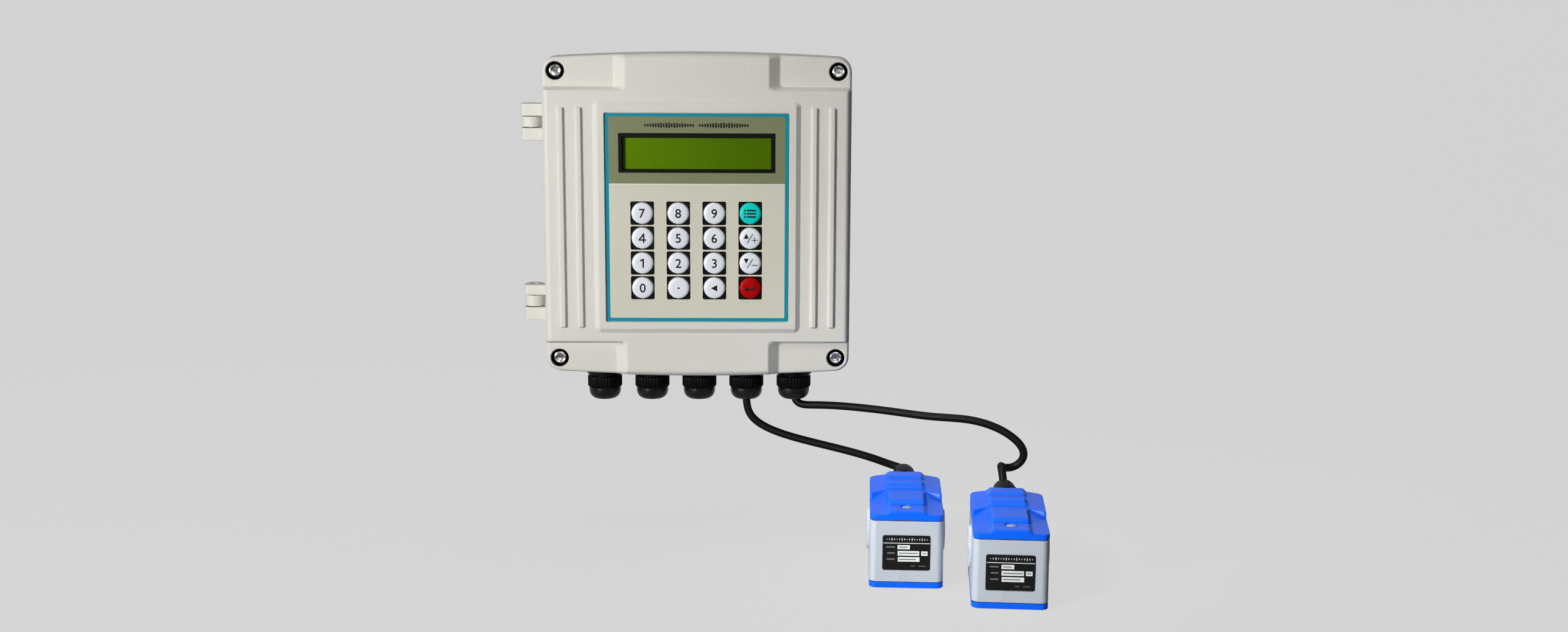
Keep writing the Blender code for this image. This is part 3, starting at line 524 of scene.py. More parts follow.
def thickened(front, back, faces, kinds):
    """Flat faces as a plate between two layers of points, with the material of each face."""
    count = len(front)
    out, index, edges = [], [], {}
    for face, kind in zip(faces, kinds):
        out += [face, tuple(i + count for i in reversed(face))]
        index += [kind, kind]
        for edge in zip(face, face[1:] + face[:1]):
            edges[edge] = kind
    for (a, b), kind in edges.items():
        if (b, a) not in edges:
            out.append((a, a + count, b + count, b))
            index.append(kind)
    return front + back, out, index


# ---------------------------------------------------------------- lid front, a smooth surface
RIM = 0.5                           # inset of the front's border from the lid's back
FRONT_W, FRONT_H, FRONT_R = HALF_W - RIM, HALF_H - RIM, CORNER_R - RIM
FRONT_CORNER_Z = corner_arc(FRONT_W, FRONT_H, FRONT_R)[2]
ROLL = 3.4                          # width of the rounded border
# lowered corner pads: start and run of the step in x and z, its depth and inner corner radius
PAD_X0, PAD_RUN_X, PAD_Z0, PAD_RUN_Z, PAD_DROP, PAD_R = 39.25, 6.05, 69.4, 1.8, 4.5, 2.2
# raised frame and ribs: centre x, z, half sizes x, z, corner radius
FRAME = (0.0, -0.5, 54.2, 61.5, 1.0)
FRAME_RISE, FRAME_SLOPE = 2.0, 2.6
RIBS = [(side * x, -0.75, 1.05, 60.25, 0.2) for side in (-1, 1) for x in (64.3, 74.1)]
RIB_RISE, RIB_SLOPE = 1.7, 1.0


def eased(t, k):
    """0 to 1 as t goes 0 to 1, rounded over k at both ends."""
    if t <= -k:
        return 0.0
    if t < k:
        return (t + k) ** 2 / (4 * k)
    if t <= 1 - k:
        return t
    if t < 1 + k:
        return 1 - (1 + k - t) ** 2 / (4 * k)
    return 1.0


def from_edge(ax, az):
    """Distance inwards from the border of the front."""
    if ax > FRONT_W - FRONT_R and az > FRONT_CORNER_Z:
        return FRONT_R - math.hypot(ax - (FRONT_W - FRONT_R), az - FRONT_CORNER_Z)
    return min(FRONT_W - ax, top_edge(FRONT_W, FRONT_H, ax) - az)


def pad_level(ax, az):
    """How far down a corner pad's step a point lies: 0 at its top edge, 1 at its foot."""
    low, high = -0.5, 1.5
    for _ in range(22):
        level = (low + high) / 2
        qx, qz = ax - PAD_X0 - PAD_RUN_X * level, az - PAD_Z0 - PAD_RUN_Z * level
        vx, vz = PAD_R - qx, PAD_R - qz
        inside = PAD_R - math.hypot(vx, vz) if vx > 0 and vz > 0 else min(qx, qz)
        low, high = (level, high) if inside > 0 else (low, level)
    return low


def lid_height(x, z):
    """d of the lid front at a point."""
    ax, az = abs(x), abs(z)
    pad = eased(pad_level(ax, az), 0.1) if ax > 37 and az > 68 else 0.0
    height = LID_D - PAD_DROP * pad
    inward, reach = max(0.0, from_edge(ax, az)), ROLL - 1.9 * pad
    if inward < reach:
        height -= (3.2 - 2.0 * pad) * (1 - inward / reach) ** 2.2
    if ax < 60 and az < 68:
        height += FRAME_RISE * (1 - eased(beyond(x, z, *FRAME) / FRAME_SLOPE, 0.1))
    for rib in RIBS:
        if abs(x - rib[0]) < 4 and az < 68:
            height += RIB_RISE * (1 - eased(beyond(x, z, *rib) / RIB_SLOPE, 0.2))
    return height


def stepped(ring):
    """The ring with extra points on its straight sides where the pad steps cross them."""
    levels = (-0.15, -0.1, -0.05, 0.0, 0.05, 0.1, 0.25, 0.4, 0.55, 0.7, 0.8, 0.9, 0.95,
              1.0, 1.05, 1.1, 1.15)
    steps = [PAD_Z0 + PAD_RUN_Z * level for level in levels]
    full = []
    for (x0, z0), (x1, z1) in zip(ring, ring[1:] + ring[:1]):
        full.append((x0, z0))
        if abs(x0 - x1) < 1e-6 and abs(z0 - z1) > 1e-6:
            between = [z for z in steps + [-z for z in steps]
                       if min(z0, z1) + 0.05 < z < max(z0, z1) - 0.05]
            full += [(x0, z) for z in sorted(between, reverse=z1 < z0)]
    return full


def grown(rect, by, corner):
    cx, cz, half_x, half_z, r = rect
    return round_rect(cx - half_x - by, cx + half_x + by, cz - half_z - by, cz + half_z + by,
                      max(0.05, r + by), corner)


def pad_line(level):
    """Line of one level of a pad's step, from the top edge round to the right side."""
    x, z = PAD_X0 + PAD_RUN_X * level, PAD_Z0 + PAD_RUN_Z * level
    top = top_edge(FRONT_W, FRONT_H, x) - 0.02
    points = [(x, top - k * ROLL / 4) for k in range(4)] + [(x, z + PAD_R)]
    points += [(x + PAD_R * (1 - math.cos(a)), z + PAD_R * (1 - math.sin(a)))
               for a in (math.radians(15 * k) for k in range(1, 6))]
    points += [(x + PAD_R, z)]
    return points + [(FRONT_W - 0.02 - ROLL * (1 - k / 4), z) for k in range(1, 5)]


def lid_front():
    """Front surface meshed along its own contours, with straight sides and a flat back."""
    points, edges = [], []

    def line(pts, closed=True):
        base, count = len(points), len(pts)
        points.extend(pts)
        edges.extend((base + i, base + i + 1) for i in range(count - 1))
        if closed:
            edges.append((base + count - 1, base))
        return list(range(base, base + count))

    insets = (0.0, 0.2, 0.45, 0.75, 1.1, 1.5, 1.95, 2.45, 3.0, ROLL)
    outer = [line(stepped(outline(FRONT_W - s, FRONT_H - s, r=FRONT_R - s))) for s in insets][0]
    for t in (-0.1, -0.03, 0.04, 0.1, 0.9, 0.96, 1.03, 1.1):
        line(grown(FRAME, FRAME_SLOPE * t, 5))
    for rib in RIBS:
        for by in (-0.2, -0.1, 0.0, 0.1, 0.2, 0.8, 0.9, 1.0, 1.1, 1.2):
            line(grown(rib, by, 3))
    for sx, sz in corners(1, 1):
        for level in (-0.1, -0.05, 0.0, 0.05, 0.1, 0.9, 0.95, 1.0, 1.05, 1.1):
            line([(sx * a, sz * b) for a, b in pad_line(level)], closed=False)
    verts, _, faces, *_ = delaunay_2d_cdt([Vector(p) for p in points], edges, [outer], 1, 1e-4)
    bm = bmesh.new()
    made = [bm.verts.new((v.x, -lid_height(v.x, v.y), v.y)) for v in verts]
    for face in faces:
        bm.faces.new([made[i] for i in face])
    loose = [v for v in bm.verts if not v.link_faces]
    bmesh.ops.delete(bm, geom=loose, context="VERTS")
    border = [e for e in bm.edges if e.is_boundary]
    for item in bmesh.ops.extrude_edge_only(bm, edges=border)["geom"]:
        if isinstance(item, bmesh.types.BMVert):
            item.co = (item.co.x * HALF_W / FRONT_W, -LID_BACK, item.co.z * HALF_H / FRONT_H)
    bmesh.ops.edgeloop_fill(bm, edges=[e for e in bm.edges if e.is_boundary])
    return take_shape(bm)


# ---------------------------------------------------------------- lid and base castings
def hinge_arc(*degrees):
    return [(HINGE_X + KNUCKLE_R * math.cos(math.radians(t)),
             HINGE_D + KNUCKLE_R * math.sin(math.radians(t))) for t in range(*degrees)]


def knuckle(outline_xd, z0, z1):
    return bevelled(loft([[(x, -d, z) for x, d in outline_xd] for z in (z0, z1)]), 0.35, 2, 50.0)


def lid_knuckle(z0, z1):
    return knuckle([(-83.5, 36.5), (-83.5, 42.6), (-94.9, 42.6), (-96.1, 42.1), (-97.0, 41.1),
                    (-97.35, 39.6)] + hinge_arc(180, 361, 12), z0, z1)


def base_knuckle(z0, z1):
    return knuckle(hinge_arc(0, 271, 9) + [(-83.0, HINGE_D - KNUCKLE_R), (-83.0, 35.6),
                                           (-86.5, 35.6)], z0, z1)


def hinge_bore(z0, z1):
    return post(HINGE_X, HINGE_D, BORE_R, z0 - 1, z1 + 1)


def build_lid():
    hinges = HINGES.values()
    knuckles = [lid_knuckle(*hinge[i]) for hinge in hinges for i in (0, 2)]
    hollow = bevelled(prism_d(cross(78.5, 66.0, 40.0, 82.5), LID_BACK - 3, 51.0), 1.0, 2, 50.0)
    bosses = [turn_d([(1.2, 46.4), (1.2, 49.4), (3.0, 49.4), (3.4, 51.6)], x, z, 28)
              for x, z in corners(*LID_BOSS)]
    film_recess = layered([
        (d, round_rect(-OVERLAY_X - g, OVERLAY_X + g, OVERLAY_Z0 - g, OVERLAY_Z1 + g, 1.0, 4))
        for d, g in ((54.2, 0.3), (55.65, 0.3), (56.3, 0.75))])
    well = [(2.3, LID_BACK - 1), (2.3, 44.0), (5.0, 44.0), (5.0, 49.1), (5.5, 49.62), (5.5, 55.0)]
    holes = [turn_d(well, x, z, 48) for x, z in corners(SCREW_X, SCREW_Z)]
    holes += [hinge_bore(lower[0], upper[1]) for upper, _, lower in hinges]
    big, small = [cross(SEAL_X1 + s, SEAL_Z1 + s, SEAL_X2 + s, SEAL_Z2 + s) for s in (1.3, -1.3)]
    d0, d1 = LID_BACK - 0.5, LID_BACK + 2.2
    seal_groove = layered([(d0, big), (d1, big), (d1, small), (d0, small)], closed=True)
    lid = make("lid_casting", lid_front(), PAINT, PLATE)
    carve(lid, ("add", several(*knuckles)), ("cut", hollow), ("add", several(*bosses)),
          ("cut", film_recess), ("cut", slab(-46.0, 46.0, -53.5, 53.0, 50.0, 55.5)),
          ("cut", several(*holes)), ("cut", seal_groove), sharp=34.0)
    piece(lid, "lid", "cast_paint", "lid")


def build_base():
    # d and inset of each outline, from the wall to the parting plane
    layers = ((0.0, 5.8), (0.15, 5.3), (0.5, 4.95), (1.2, 4.6), (3.0, 4.28), (35.7, 0.04),
              (PART_D, 0.2))
    base = make("base_casting",
                layered([(d, outline(HALF_W - s, HALF_H - s)) for d, s in layers]), PAINT)
    collars = [turn_z([(10.0, -90.4), (10.6, -89.8), (10.6, -84.0)], x, GLAND_D, 48)
               for x in GLAND_X]
    knuckles = [base_knuckle(*middle) for _, middle, _ in HINGES.values()]
    hollow = bevelled(prism_d(cross(76.5, 66.0, 64.5, 81.5), 4.0, PART_D + 3), 1.2, 2, 50.0)
    boss = [(5.4, 3.0), (5.0, 5.0), (5.0, 11.0), (1.4, 11.0), (1.4, 14.2)]
    bosses = [turn_d(boss, x, z, 32) for x, z in corners(*BASE_BOSS)]
    holes = [drum(x, z, 2.1, -1.0, 8.0, 24) for x, z in corners(*BASE_BOSS)]
    holes += [drum(x, z, 3.1, 26.0, PART_D + 1, 28) for x, z in corners(SCREW_X, SCREW_Z)]
    holes += [post(x, GLAND_D, 8.2, -92.0, -79.0) for x in GLAND_X]
    holes += [hinge_bore(*middle) for _, middle, _ in HINGES.values()]
    carve(base, ("add", several(*collars)), ("add", several(*knuckles)), ("cut", hollow),
          ("add", several(*bosses)), ("cut", several(*holes)), sharp=34.0)
    piece(base, "base", "cast_paint", "base_housing")


def build_hinge_pins():
    # radius and distance from the end
    tip = ((1.2, 0.0), (1.6, 0.05), (1.9, 0.25), (PIN_R, 0.6))
    for side, (upper, _, lower) in HINGES.items():
        z0, z1 = lower[0] + 0.4, upper[1] - 0.4
        profile = [(r, z0 + s) for r, s in tip] + [(r, z1 - s) for r, s in tip[::-1]]
        part(f"pin_{side}", turn_z(profile, HINGE_X, HINGE_D, 40), SATIN,
             "base", "steel", f"hinge_pin_{side}", sharp=40.0)


def colour_seal():
    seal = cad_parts["lid_seal"]
    seal.data.materials.clear()
    seal.data.materials.append(RUBBER)


def knurl(angle, r, step):
    """96 steps round the side of a screw head."""
    return r - (0.13 if 3 <= step <= 4 and int(angle / (2 * math.pi) * 96) % 2 else 0.0)


def build_lid_screws():
    """Socket head screws with a knurled side, each well lined with a dark layer that paints the
    shade inside it.
    """
    low = 44.3                      # underside of the heads
    profile = [(1.6, 31.0), (2.0, 31.5), (2.0, low), (3.45, low), (3.5, low + 3.3),
               (3.42, low + 3.6), (3.2, low + 3.85), (2.75, low + 4.0), (2.5, low + 3.9),
               (1.8, low + 3.75)]
    socket = [(1.75, low + 1.6), (1.75, low + 3.6), (1.95, low + 4.2)]
    # thin dark lining inside each well: painted shade, not a part of the screw or the lid
    shade_lining = [(2.45, 44.02), (2.45, 44.14), (4.8, 44.14), (4.8, 48.75), (4.97, 49.0),
              (4.97, 44.02)]
    for i, (sx, sz) in enumerate(((-1, 1), (1, 1), (-1, -1), (1, -1)), 1):
        x, z = sx * SCREW_X, sz * SCREW_Z
        screw = make(f"socket_screw_{i}", turn_d(profile, x, z, 192, wobble=knurl), CHROME)
        carve(screw, ("cut", turn_d(socket, x, z, 6, phase=0.2 * i)), sharp=25.0)
        piece(screw, f"lid_screw_{i}", "steel", f"lid_screw_{i}")
        part(f"well_shade_lining_{i}", turn_d(shade_lining, x, z, 48, tube=True), WELL_SHADE,
             "lid", "black_plastic")


# ---------------------------------------------------------------- front overlay and keypad plate
# x0, x1, z0, z1, corner radius
FILM_OUT = (-OVERLAY_X, OVERLAY_X, OVERLAY_Z0, OVERLAY_Z1, 0.8)
FILM_IN = (-48.15, 48.15, -55.9, 55.45, 0.4)
WINDOW = (-42.9, 42.9, 24.7, 46.4, 0.35)
CELLS = [(x - 6.5, x + 6.5, z - 6.5, z + 6.5, 0.9) for x, z in KEY_CENTRES]
LINE_TOP, LINE_BOTTOM = 18.75, 18.3     # pale line between the olive and cream fields


def inside(x, z, rect):
    x0, x1, z0, z1, r = rect
    return beyond(x, z, (x0 + x1) / 2, (z0 + z1) / 2, (x1 - x0) / 2, (z1 - z0) / 2, r) < 0


def film_kind(x, z):
    """Material number of the film at a point, or None in a hole."""
    if (not inside(x, z, FILM_OUT) or inside(x, z, WINDOW)
            or any(inside(x, z, cell) for cell in CELLS)):
        return None
    if not inside(x, z, FILM_IN):
        return 0
    return 1 if z > LINE_TOP else 3 if z > LINE_BOTTOM else 2


def build_film():
    loops = [round_rect(*rect) for rect in (FILM_OUT, FILM_IN, WINDOW)]
    loops += [round_rect(*cell, 8) for cell in CELLS]
    loops += [[(FILM_IN[0], z), (FILM_IN[1], z)] for z in (LINE_TOP, LINE_BOTTOM)]
    points, edges = [], []
    for ring in loops:
        base, count = len(points), len(ring)
        points += [Vector(p) for p in ring]
        edges += [(base + i, base + (i + 1) % count) for i in range(count)]
    verts, _, faces, *_ = delaunay_2d_cdt(points, edges, [], 0, 1e-4)
    solid, kinds = [], []
    for face in faces:
        middle = sum((verts[i] for i in face), Vector((0, 0))) / 3
        kind = film_kind(middle.x, middle.y)
        if kind is not None:
            solid.append(tuple(face))
            kinds.append(kind)
    front, back = [[(v.x, -d, v.y) for v in verts] for d in (55.0, 54.5)]
    points, out, index = thickened(front, back, solid, kinds)
    used = sorted({i for face in out for i in face})
    place = {old: new for new, old in enumerate(used)}
    shape = [points[i] for i in used], [tuple(place[i] for i in face) for face in out]
    film = make("overlay_film", shape, TEAL, OLIVE, CREAM, PALE, index=index)
    piece(film, "lid", "overlay_film", "front_overlay")


def build_keypad_plate():
    plate = make("keypad_plate", slab(-45.6, 45.6, -53.1, 20.4, 52.2, 54.1), BLACK)
    pegs = [drum(x, z, 1.3, 49.4, 53.0, 16) for x in (-43.8, 43.8) for z in (-51.3, 18.6)]
    holes = [turn_d([(6.35, 51.0), (6.35, 53.95), (6.55, 54.3)], x, z, 48)
             for x, z in KEY_CENTRES]
    carve(plate, ("add", several(*pegs)), ("cut", several(*holes)))
    piece(plate, "lid", "black_plastic", "keypad_frame")
    # half width and d of the raised rim round each key
    section = ((6.42, 54.0), (6.42, 54.3), (6.3, 54.36), (6.18, 54.3), (6.18, 54.0))
    rims = [layered([(d, round_rect(x - w, x + w, z - w, z + w, 0.9 - (6.5 - w)))
                     for w, d in section], closed=True) for x, z in KEY_CENTRES]
    part("keypad_rims", several(*rims), BLACK, "lid", "black_plastic")


# ---------------------------------------------------------------- keys with printed marks
def key_top(r):
    """d of a key's top at a radius."""
    steps = ((0.0, 56.3), (4.0, 56.29), (4.6, 56.22), (5.1, 56.08), (5.5, 55.86), (5.8, 55.55),
             (6.0, 55.1), (6.2, 54.9))
    for (r0, d0), (r1, d1) in zip(steps, steps[1:]):
        if r <= r1:
            return d0 + (d1 - d0) * (r - r0) / (r1 - r0)
    return 54.9


def key_point(x, z, u, v, lift):
    """Point at u, v from the centre of the key at x, z, lifted off its top."""
    return x + u, -(key_top(math.hypot(u, v)) + lift), z + v


PRINT_LIFT, PRINT_SINK = 0.03, -0.06


def key_mark(x, z, polygons, lift):
    """Thin raised print from convex polygons that follows the key's top."""
    return several(*[loft([[key_point(x, z, u, v, o) for u, v in polygon]
                           for o in (PRINT_SINK, lift)]) for polygon in polygons])


def key_digit(name, x, z):
    height = 5.05
    curve = bpy.data.curves.new(f"print_{name}", "FONT")
    curve.body, curve.size, curve.resolution_u, curve.offset = name, 1.0, 6, 0.011
    obj = bpy.data.objects.new(f"print_{name}", curve)
    bpy.context.scene.collection.objects.link(obj)
    flat = evaluated_mesh(obj)
    bpy.data.objects.remove(obj)
    xs, ys = [v.co.x for v in flat.vertices], [v.co.y for v in flat.vertices]
    scale = height / (max(ys) - min(ys))
    mid_x, mid_y = (max(xs) + min(xs)) / 2, (max(ys) + min(ys)) / 2
    flat_points = [((a - mid_x) * scale, (b - mid_y) * scale) for a, b in zip(xs, ys)]
    front, back = [[key_point(x, z, u, v, o) for u, v in flat_points]
                   for o in (PRINT_LIFT, PRINT_SINK)]
    faces = [tuple(p.vertices) for p in flat.polygons]
    bpy.data.meshes.remove(flat)
    return thickened(front, back, faces, [0] * len(faces))[:2]


def stroke(pts, w):
    """Quads along a polyline, with square joints."""
    out = []
    for (x0, z0), (x1, z1) in zip(pts, pts[1:]):
        s = math.hypot(x1 - x0, z1 - z0)
        ux, uz = (x1 - x0) / s * w / 2, (z1 - z0) / s * w / 2
        out.append([(x0 - ux * 0.6 - uz, z0 - uz * 0.6 + ux),
                    (x0 - ux * 0.6 + uz, z0 - uz * 0.6 - ux),
                    (x1 + ux * 0.6 + uz, z1 + uz * 0.6 - ux),
                    (x1 + ux * 0.6 - uz, z1 + uz * 0.6 + ux)])
    return out


def arrow_mark(s):
    """Triangle pointing up (s = 1) or down (s = -1), with a slash and a bar."""
    polygons = [[(-3.6, 1.35 - 1.4 * s), (-0.8, 1.35 - 1.4 * s), (-2.2, 1.35 + 1.4 * s)][::s]]
    return (polygons + stroke([(-1.6, -2.4), (1.3, 2.3)], 0.42)
            + stroke([(0.9, -0.95), (3.9, -0.95)], 0.42))


# marks drawn as polygons, and their lift; the other keys bear a digit
KEY_MARKS = {
    "1": (stroke([(0.35, -2.3), (0.35, 2.3)], 0.82)
          + [[(0.72, 2.52), (0.0, 2.52), (-1.3, 1.68), (-1.3, 0.88), (0.0, 1.62)]], PRINT_LIFT),
    "4": (stroke([(0.75, 2.3), (-1.75, -0.95), (1.95, -0.95)], 0.76)
          + stroke([(0.75, 2.45), (0.75, -2.3)], 0.84), PRINT_LIFT),
    "dot": ([rectangle(-0.5, 0.5, -0.5, 0.5)], PRINT_LIFT),
    "left": ([[(-1.95, 0), (1.55, -1.8), (1.55, 1.8)]], PRINT_LIFT),
    "up": (arrow_mark(1) + stroke([(2.4, -2.4), (2.4, 0.5)], 0.42), 0.08),
    "down": (arrow_mark(-1), 0.08),
    "menu": ([quad for v in (1.75, 0.0, -1.75) for quad in
              stroke([(-1.6, v), (2.9, v)], 0.85) + stroke([(-3.1, v), (-2.7, v)], 0.85)],
             PRINT_LIFT),
    "enter": (stroke([(2.7, 1.9), (2.7, -0.6), (-1.3, -0.6)], 0.85)
              + [[(-3.2, -0.6), (-1.1, -2.1), (-1.1, 0.9)]], 0.06),
}
KEY_COLOURS = {"menu": ("key_teal", TEAL_KEY), "enter": ("key_red", RED_KEY)}


def twelve_sided(angle, r, step):
    """Blend of a circle and a twelve-sided outline on a cap's side."""
    if not 3 <= step <= 8:
        return r
    a = (angle % (math.pi / 6)) - math.pi / 12
    flat_side = math.cos(math.pi / 12) / math.cos(a)
    return r * (1 + 0.55 * (flat_side - 1))


def build_keys():
    profile = [(6.6, 50.6), (6.6, 51.7), (6.0, 51.7), (6.0, 55.0), (5.95, 55.3), (5.8, 55.58),
               (5.5, 55.86), (5.1, 56.08), (4.6, 56.2), (4.0, 56.27), (3.2, 56.29), (1.5, 56.3)]
    for z, names in zip(KEY_Z, KEY_NAMES):
        for x, name in zip(KEY_X, names):
            slot, mat = KEY_COLOURS.get(name, ("key_white", WHITE_KEY))
            node = f"key_{name}"
            part(f"cap_{name}", turn_d(profile, x, z, 96, wobble=twelve_sided), mat,
                 node, slot, node, sharp=50.0)
            shape = (key_mark(x, z, *KEY_MARKS[name]) if name in KEY_MARKS
                     else key_digit(name, x, z))
            part(f"print_{name}", shape, PRINT, node, slot)


def build_title():
    """Two groups of upright bars of changing height above the display."""
    count, pitch, width, mid_z = 19, 1.45, 0.95, 50.65
    bars = []
    for x0 in (-28.6, 1.2):
        for k in range(count):
            swell = abs(math.sin(math.pi * (k + 0.5) / count))
            height = 1.1 + 1.8 * swell * (0.5 + 0.5 * abs(math.cos(1.1 * k)))
            left = x0 + pitch * k
            bars.append(rectangle(left, left + width, mid_z - height / 2, mid_z + height / 2))
    part("title_print", several(*[prism_d(bar, 54.97, 55.03) for bar in bars]), PRINT,
         "lid", "overlay_film")


def build_display():
    bezel = make("bezel_frame", slab(-42.7, 42.7, 24.9, 46.2, 49.4, 54.8), BLACK)
    opening = layered([(d, round_rect(-40.9 - g, 40.9 + g, 26.2 - g, 43.9 + g, 0.4, 4))
                       for d, g in ((48.0, 0.0), (54.3, 0.0), (56.0, 0.5))])
    carve(bezel, ("cut", opening))
    piece(bezel, "lid", "black_plastic", "display_bezel")
    area = (-40.6, 40.6, 26.5, 43.6)
    part("lcd_glass", chip(*area, 49.4, 52.0, 0.15, 1), GREEN_LCD,
         "lid", "display_green", "display_panel")
    part("window_pane", chip(*area, 52.3, 53.1, 0.12, 1), GLASS,
         "lid", "clear_window", "display_window")


# ---------------------------------------------------------------- electronics
def joint(profile, x, z, sides=12):
    return turn_d(profile, x, z, sides)


def build_keypad_board():
    """Board behind the keys, with its parts on the wall side."""
    board = make("keypad_pcb", chip(-60.0, 60.0, -57.0, 57.0, 47.5, 49.1, 0.12, 1), PCB)
    carve(board, ("cut", several(*[drum(x, z, 1.6, 46.0, 50.0, 24)
                                   for x, z in corners(*LID_BOSS)])))
    piece(board, "lid", "board_green", "keypad_board")
    back = 47.6
    parts = [chip(-59.0, -52.0, -14.0, 14.0, 44.0, back, 0.3),
             chip(20.0, 40.0, -20.0, 0.0, 45.6, back, 0.3)]
    parts += [chip(-40.0 + 14 * k, -32.0 + 14 * k, 30.0, 35.0, 46.4, back, 0.2)
              for k in range(3)]
    parts += [turn_d([(3.0, 49.0), (3.0, 49.5), (2.6, 49.6)], x, z, 28) for x, z in KEY_CENTRES]
    part("keypad_parts", several(*parts), BLACK, "lid", "black_plastic")
    pins = [slab(x, x + 0.5, z - 21.6, z - 20.0, 46.9, back)
            for x in [21.0 + 1.5 * k for k in range(12)] for z in (0.0, 21.6)]
    pins += [joint([(0.9, back), (0.75, 47.2), (0.3, 46.8)], x + dx, z + dz)
             for x, z in KEY_CENTRES for dx in (-3.2, 3.2) for dz in (-2.2, 2.2)]
    pins += [joint([(0.7, back), (0.3, 46.9)], -49.5, -12.0 + 2.4 * k, 10) for k in range(11)]
    part("keypad_joints", several(*pins), TIN, "lid", "board_green")
    small = [chip(-10 + 6 * (k % 5), -7.5 + 6 * (k % 5), 24 - 5 * (k // 5), 25.4 - 5 * (k // 5),
                  46.9, back, 0.1, 1) for k in range(10)]
    part("keypad_chips", several(*small), TAPE, "lid", "board_green")
    washers = [turn_d([(2.7, 47.3), (2.7, 46.5), (2.3, 46.1), (1.25, 46.1)], x, z, 28)
               for x, z in corners(*LID_BOSS)]
    part("keypad_washers", several(*washers), SATIN, "lid", "steel")


TOP = 12.85                         # d where parts stand on the main board, just below its face
CAPACITORS = ((22.0, 12.0, 6.0, 28.9), (-34.0, 38.0, 5.0, 24.9), (-34.0, 22.0, 5.0, 24.9))


def capacitor(x, z, r, top):
    return turn_d([(r * 0.9, TOP), (r, 13.4), (r, 14.2), (r * 0.94, 14.6), (r, 15.1),
                   (r, top - 0.7), (r * 0.93, top), (r * 0.8, top + 0.05)], x, z, 40)


def capacitor_top(x, z, r, top):
    return turn_d([(r * 0.78, top - 0.4), (r * 0.78, top + 0.07)], x, z, 40)


def build_main_board():
    board = make("main_pcb", chip(-72.0, 72.0, -60.0, 60.0, 11.3, 12.9, 0.12, 1), PCB)
    carve(board, ("cut", several(*[drum(x, z, 1.8, 10.0, 14.0, 24)
                                   for x, z in corners(*BASE_BOSS)])))
    piece(board, "base", "board_green", "main_board")
    # x0, x1, z0, z1, d0, d1, bevel, segments
    parts = [(32.0, 66.0, 8.0, 44.0, TOP, 15.0, 0.3),
             (35.0, 63.0, 12.0, 22.0, 14.9, 32.8, 0.8, 3),
             (35.0, 63.0, 30.0, 40.0, 14.9, 32.8, 0.8, 3),
             (-16.0, 10.0, -14.0, 10.0, TOP, 15.4, 0.3),
             (30.0, 52.0, -30.0, -12.0, TOP, 15.0, 0.3),
             (-64.0, -56.0, -14.0, 14.0, TOP, 19.0, 0.4)]
    parts += [(-50.0 + 11 * k, -43.0 + 11 * k, -38.0, -33.5, TOP, 15.6, 0.2) for k in range(6)]
    part("board_parts", several(*[chip(*row) for row in parts]), BLACK, "base", "black_plastic")
    part("board_winding", chip(37.0, 61.0, 21.5, 30.5, 14.9, 31.0, 1.2, 3), TAPE,
         "base", "board_green")
    relays = [chip(x0, x1, 30.0, 46.0, TOP, 27.0, 0.6, 3) for x0, x1 in ((-20.0, 2.0), (6.0, 24.0))]
    part("board_relays", several(*relays), BLUE_PART, "base", "board_green")
    part("board_capacitors", several(*[capacitor(*row) for row in CAPACITORS]), BLUE_PART,
         "base", "board_green")
    part("board_capacitor_tops", several(*[capacitor_top(*row) for row in CAPACITORS]), SATIN,
         "base", "steel")
    legs = [slab(-15.0 + 1.6 * k, -14.4 + 1.6 * k, z, z + 1.4, TOP, 13.6)
            for k in range(16) for z in (-15.4, 10.0)]
    legs += [slab(x, x + 1.4, -13.0 + 1.6 * k, -12.4 + 1.6 * k, TOP, 13.6)
             for k in range(14) for x in (-17.4, 10.0)]
    legs += [slab(31.0 + 1.9 * k, 31.7 + 1.9 * k, z, z + 1.4, TOP, 13.4)
             for k in range(11) for z in (-31.4, -12.0)]
    legs += [joint([(0.9, TOP), (0.7, 13.3), (0.3, 13.7)], -50.0 + 10.0 * k, -43.0)
             for k in range(11)]
    part("board_joints", several(*legs), TIN, "base", "board_green")
    small = [chip(-52 + 7 * (k % 4), -48.8 + 7 * (k % 4), 8 - 6 * (k // 4), 9.6 - 6 * (k // 4),
                  TOP, 13.5, 0.1, 1) for k in range(12)]
    small += [chip(14 + 6 * (k % 2), 17.2 + 6 * (k % 2), -2 - 6 * (k // 2), -0.4 - 6 * (k // 2),
                   TOP, 13.5, 0.1, 1) for k in range(8)]
    part("board_chips", several(*small), TAPE, "base", "board_green")


def build_terminals():
    """Ten-way terminal strip with slotted screws."""
    way_x = [-55.0 + 11.0 * (k + 0.5) for k in range(10)]
    screw_z = -49.0
    block = make("terminal_strip", chip(-56.0, 56.0, -57.5, -45.5, 13.2, 24.5, 0.5), TERMINAL)
    carve(block,
          ("cut", several(*[chip(x - 3.2, x + 3.2, -58.5, -52.5, 15.0, 20.5, 0.3)
                            for x in way_x])),
          ("cut", several(*[drum(x, screw_z, 2.6, 21.5, 26.0, 28) for x in way_x])))
    piece(block, "base", "terminal_green", "terminal_block")
    profile = [(2.3, 21.4), (2.3, 22.6), (2.0, 22.9), (1.0, 22.9)]
    screws = make("terminal_screws", several(*[turn_d(profile, x, screw_z, 28) for x in way_x]),
                  SATIN)
    carve(screws, ("cut", several(*[slab(x - 2.6, x + 2.6, -49.3, -48.7, 22.3, 24.0)
                                    for x in way_x])))
    piece(screws, "base", "steel")


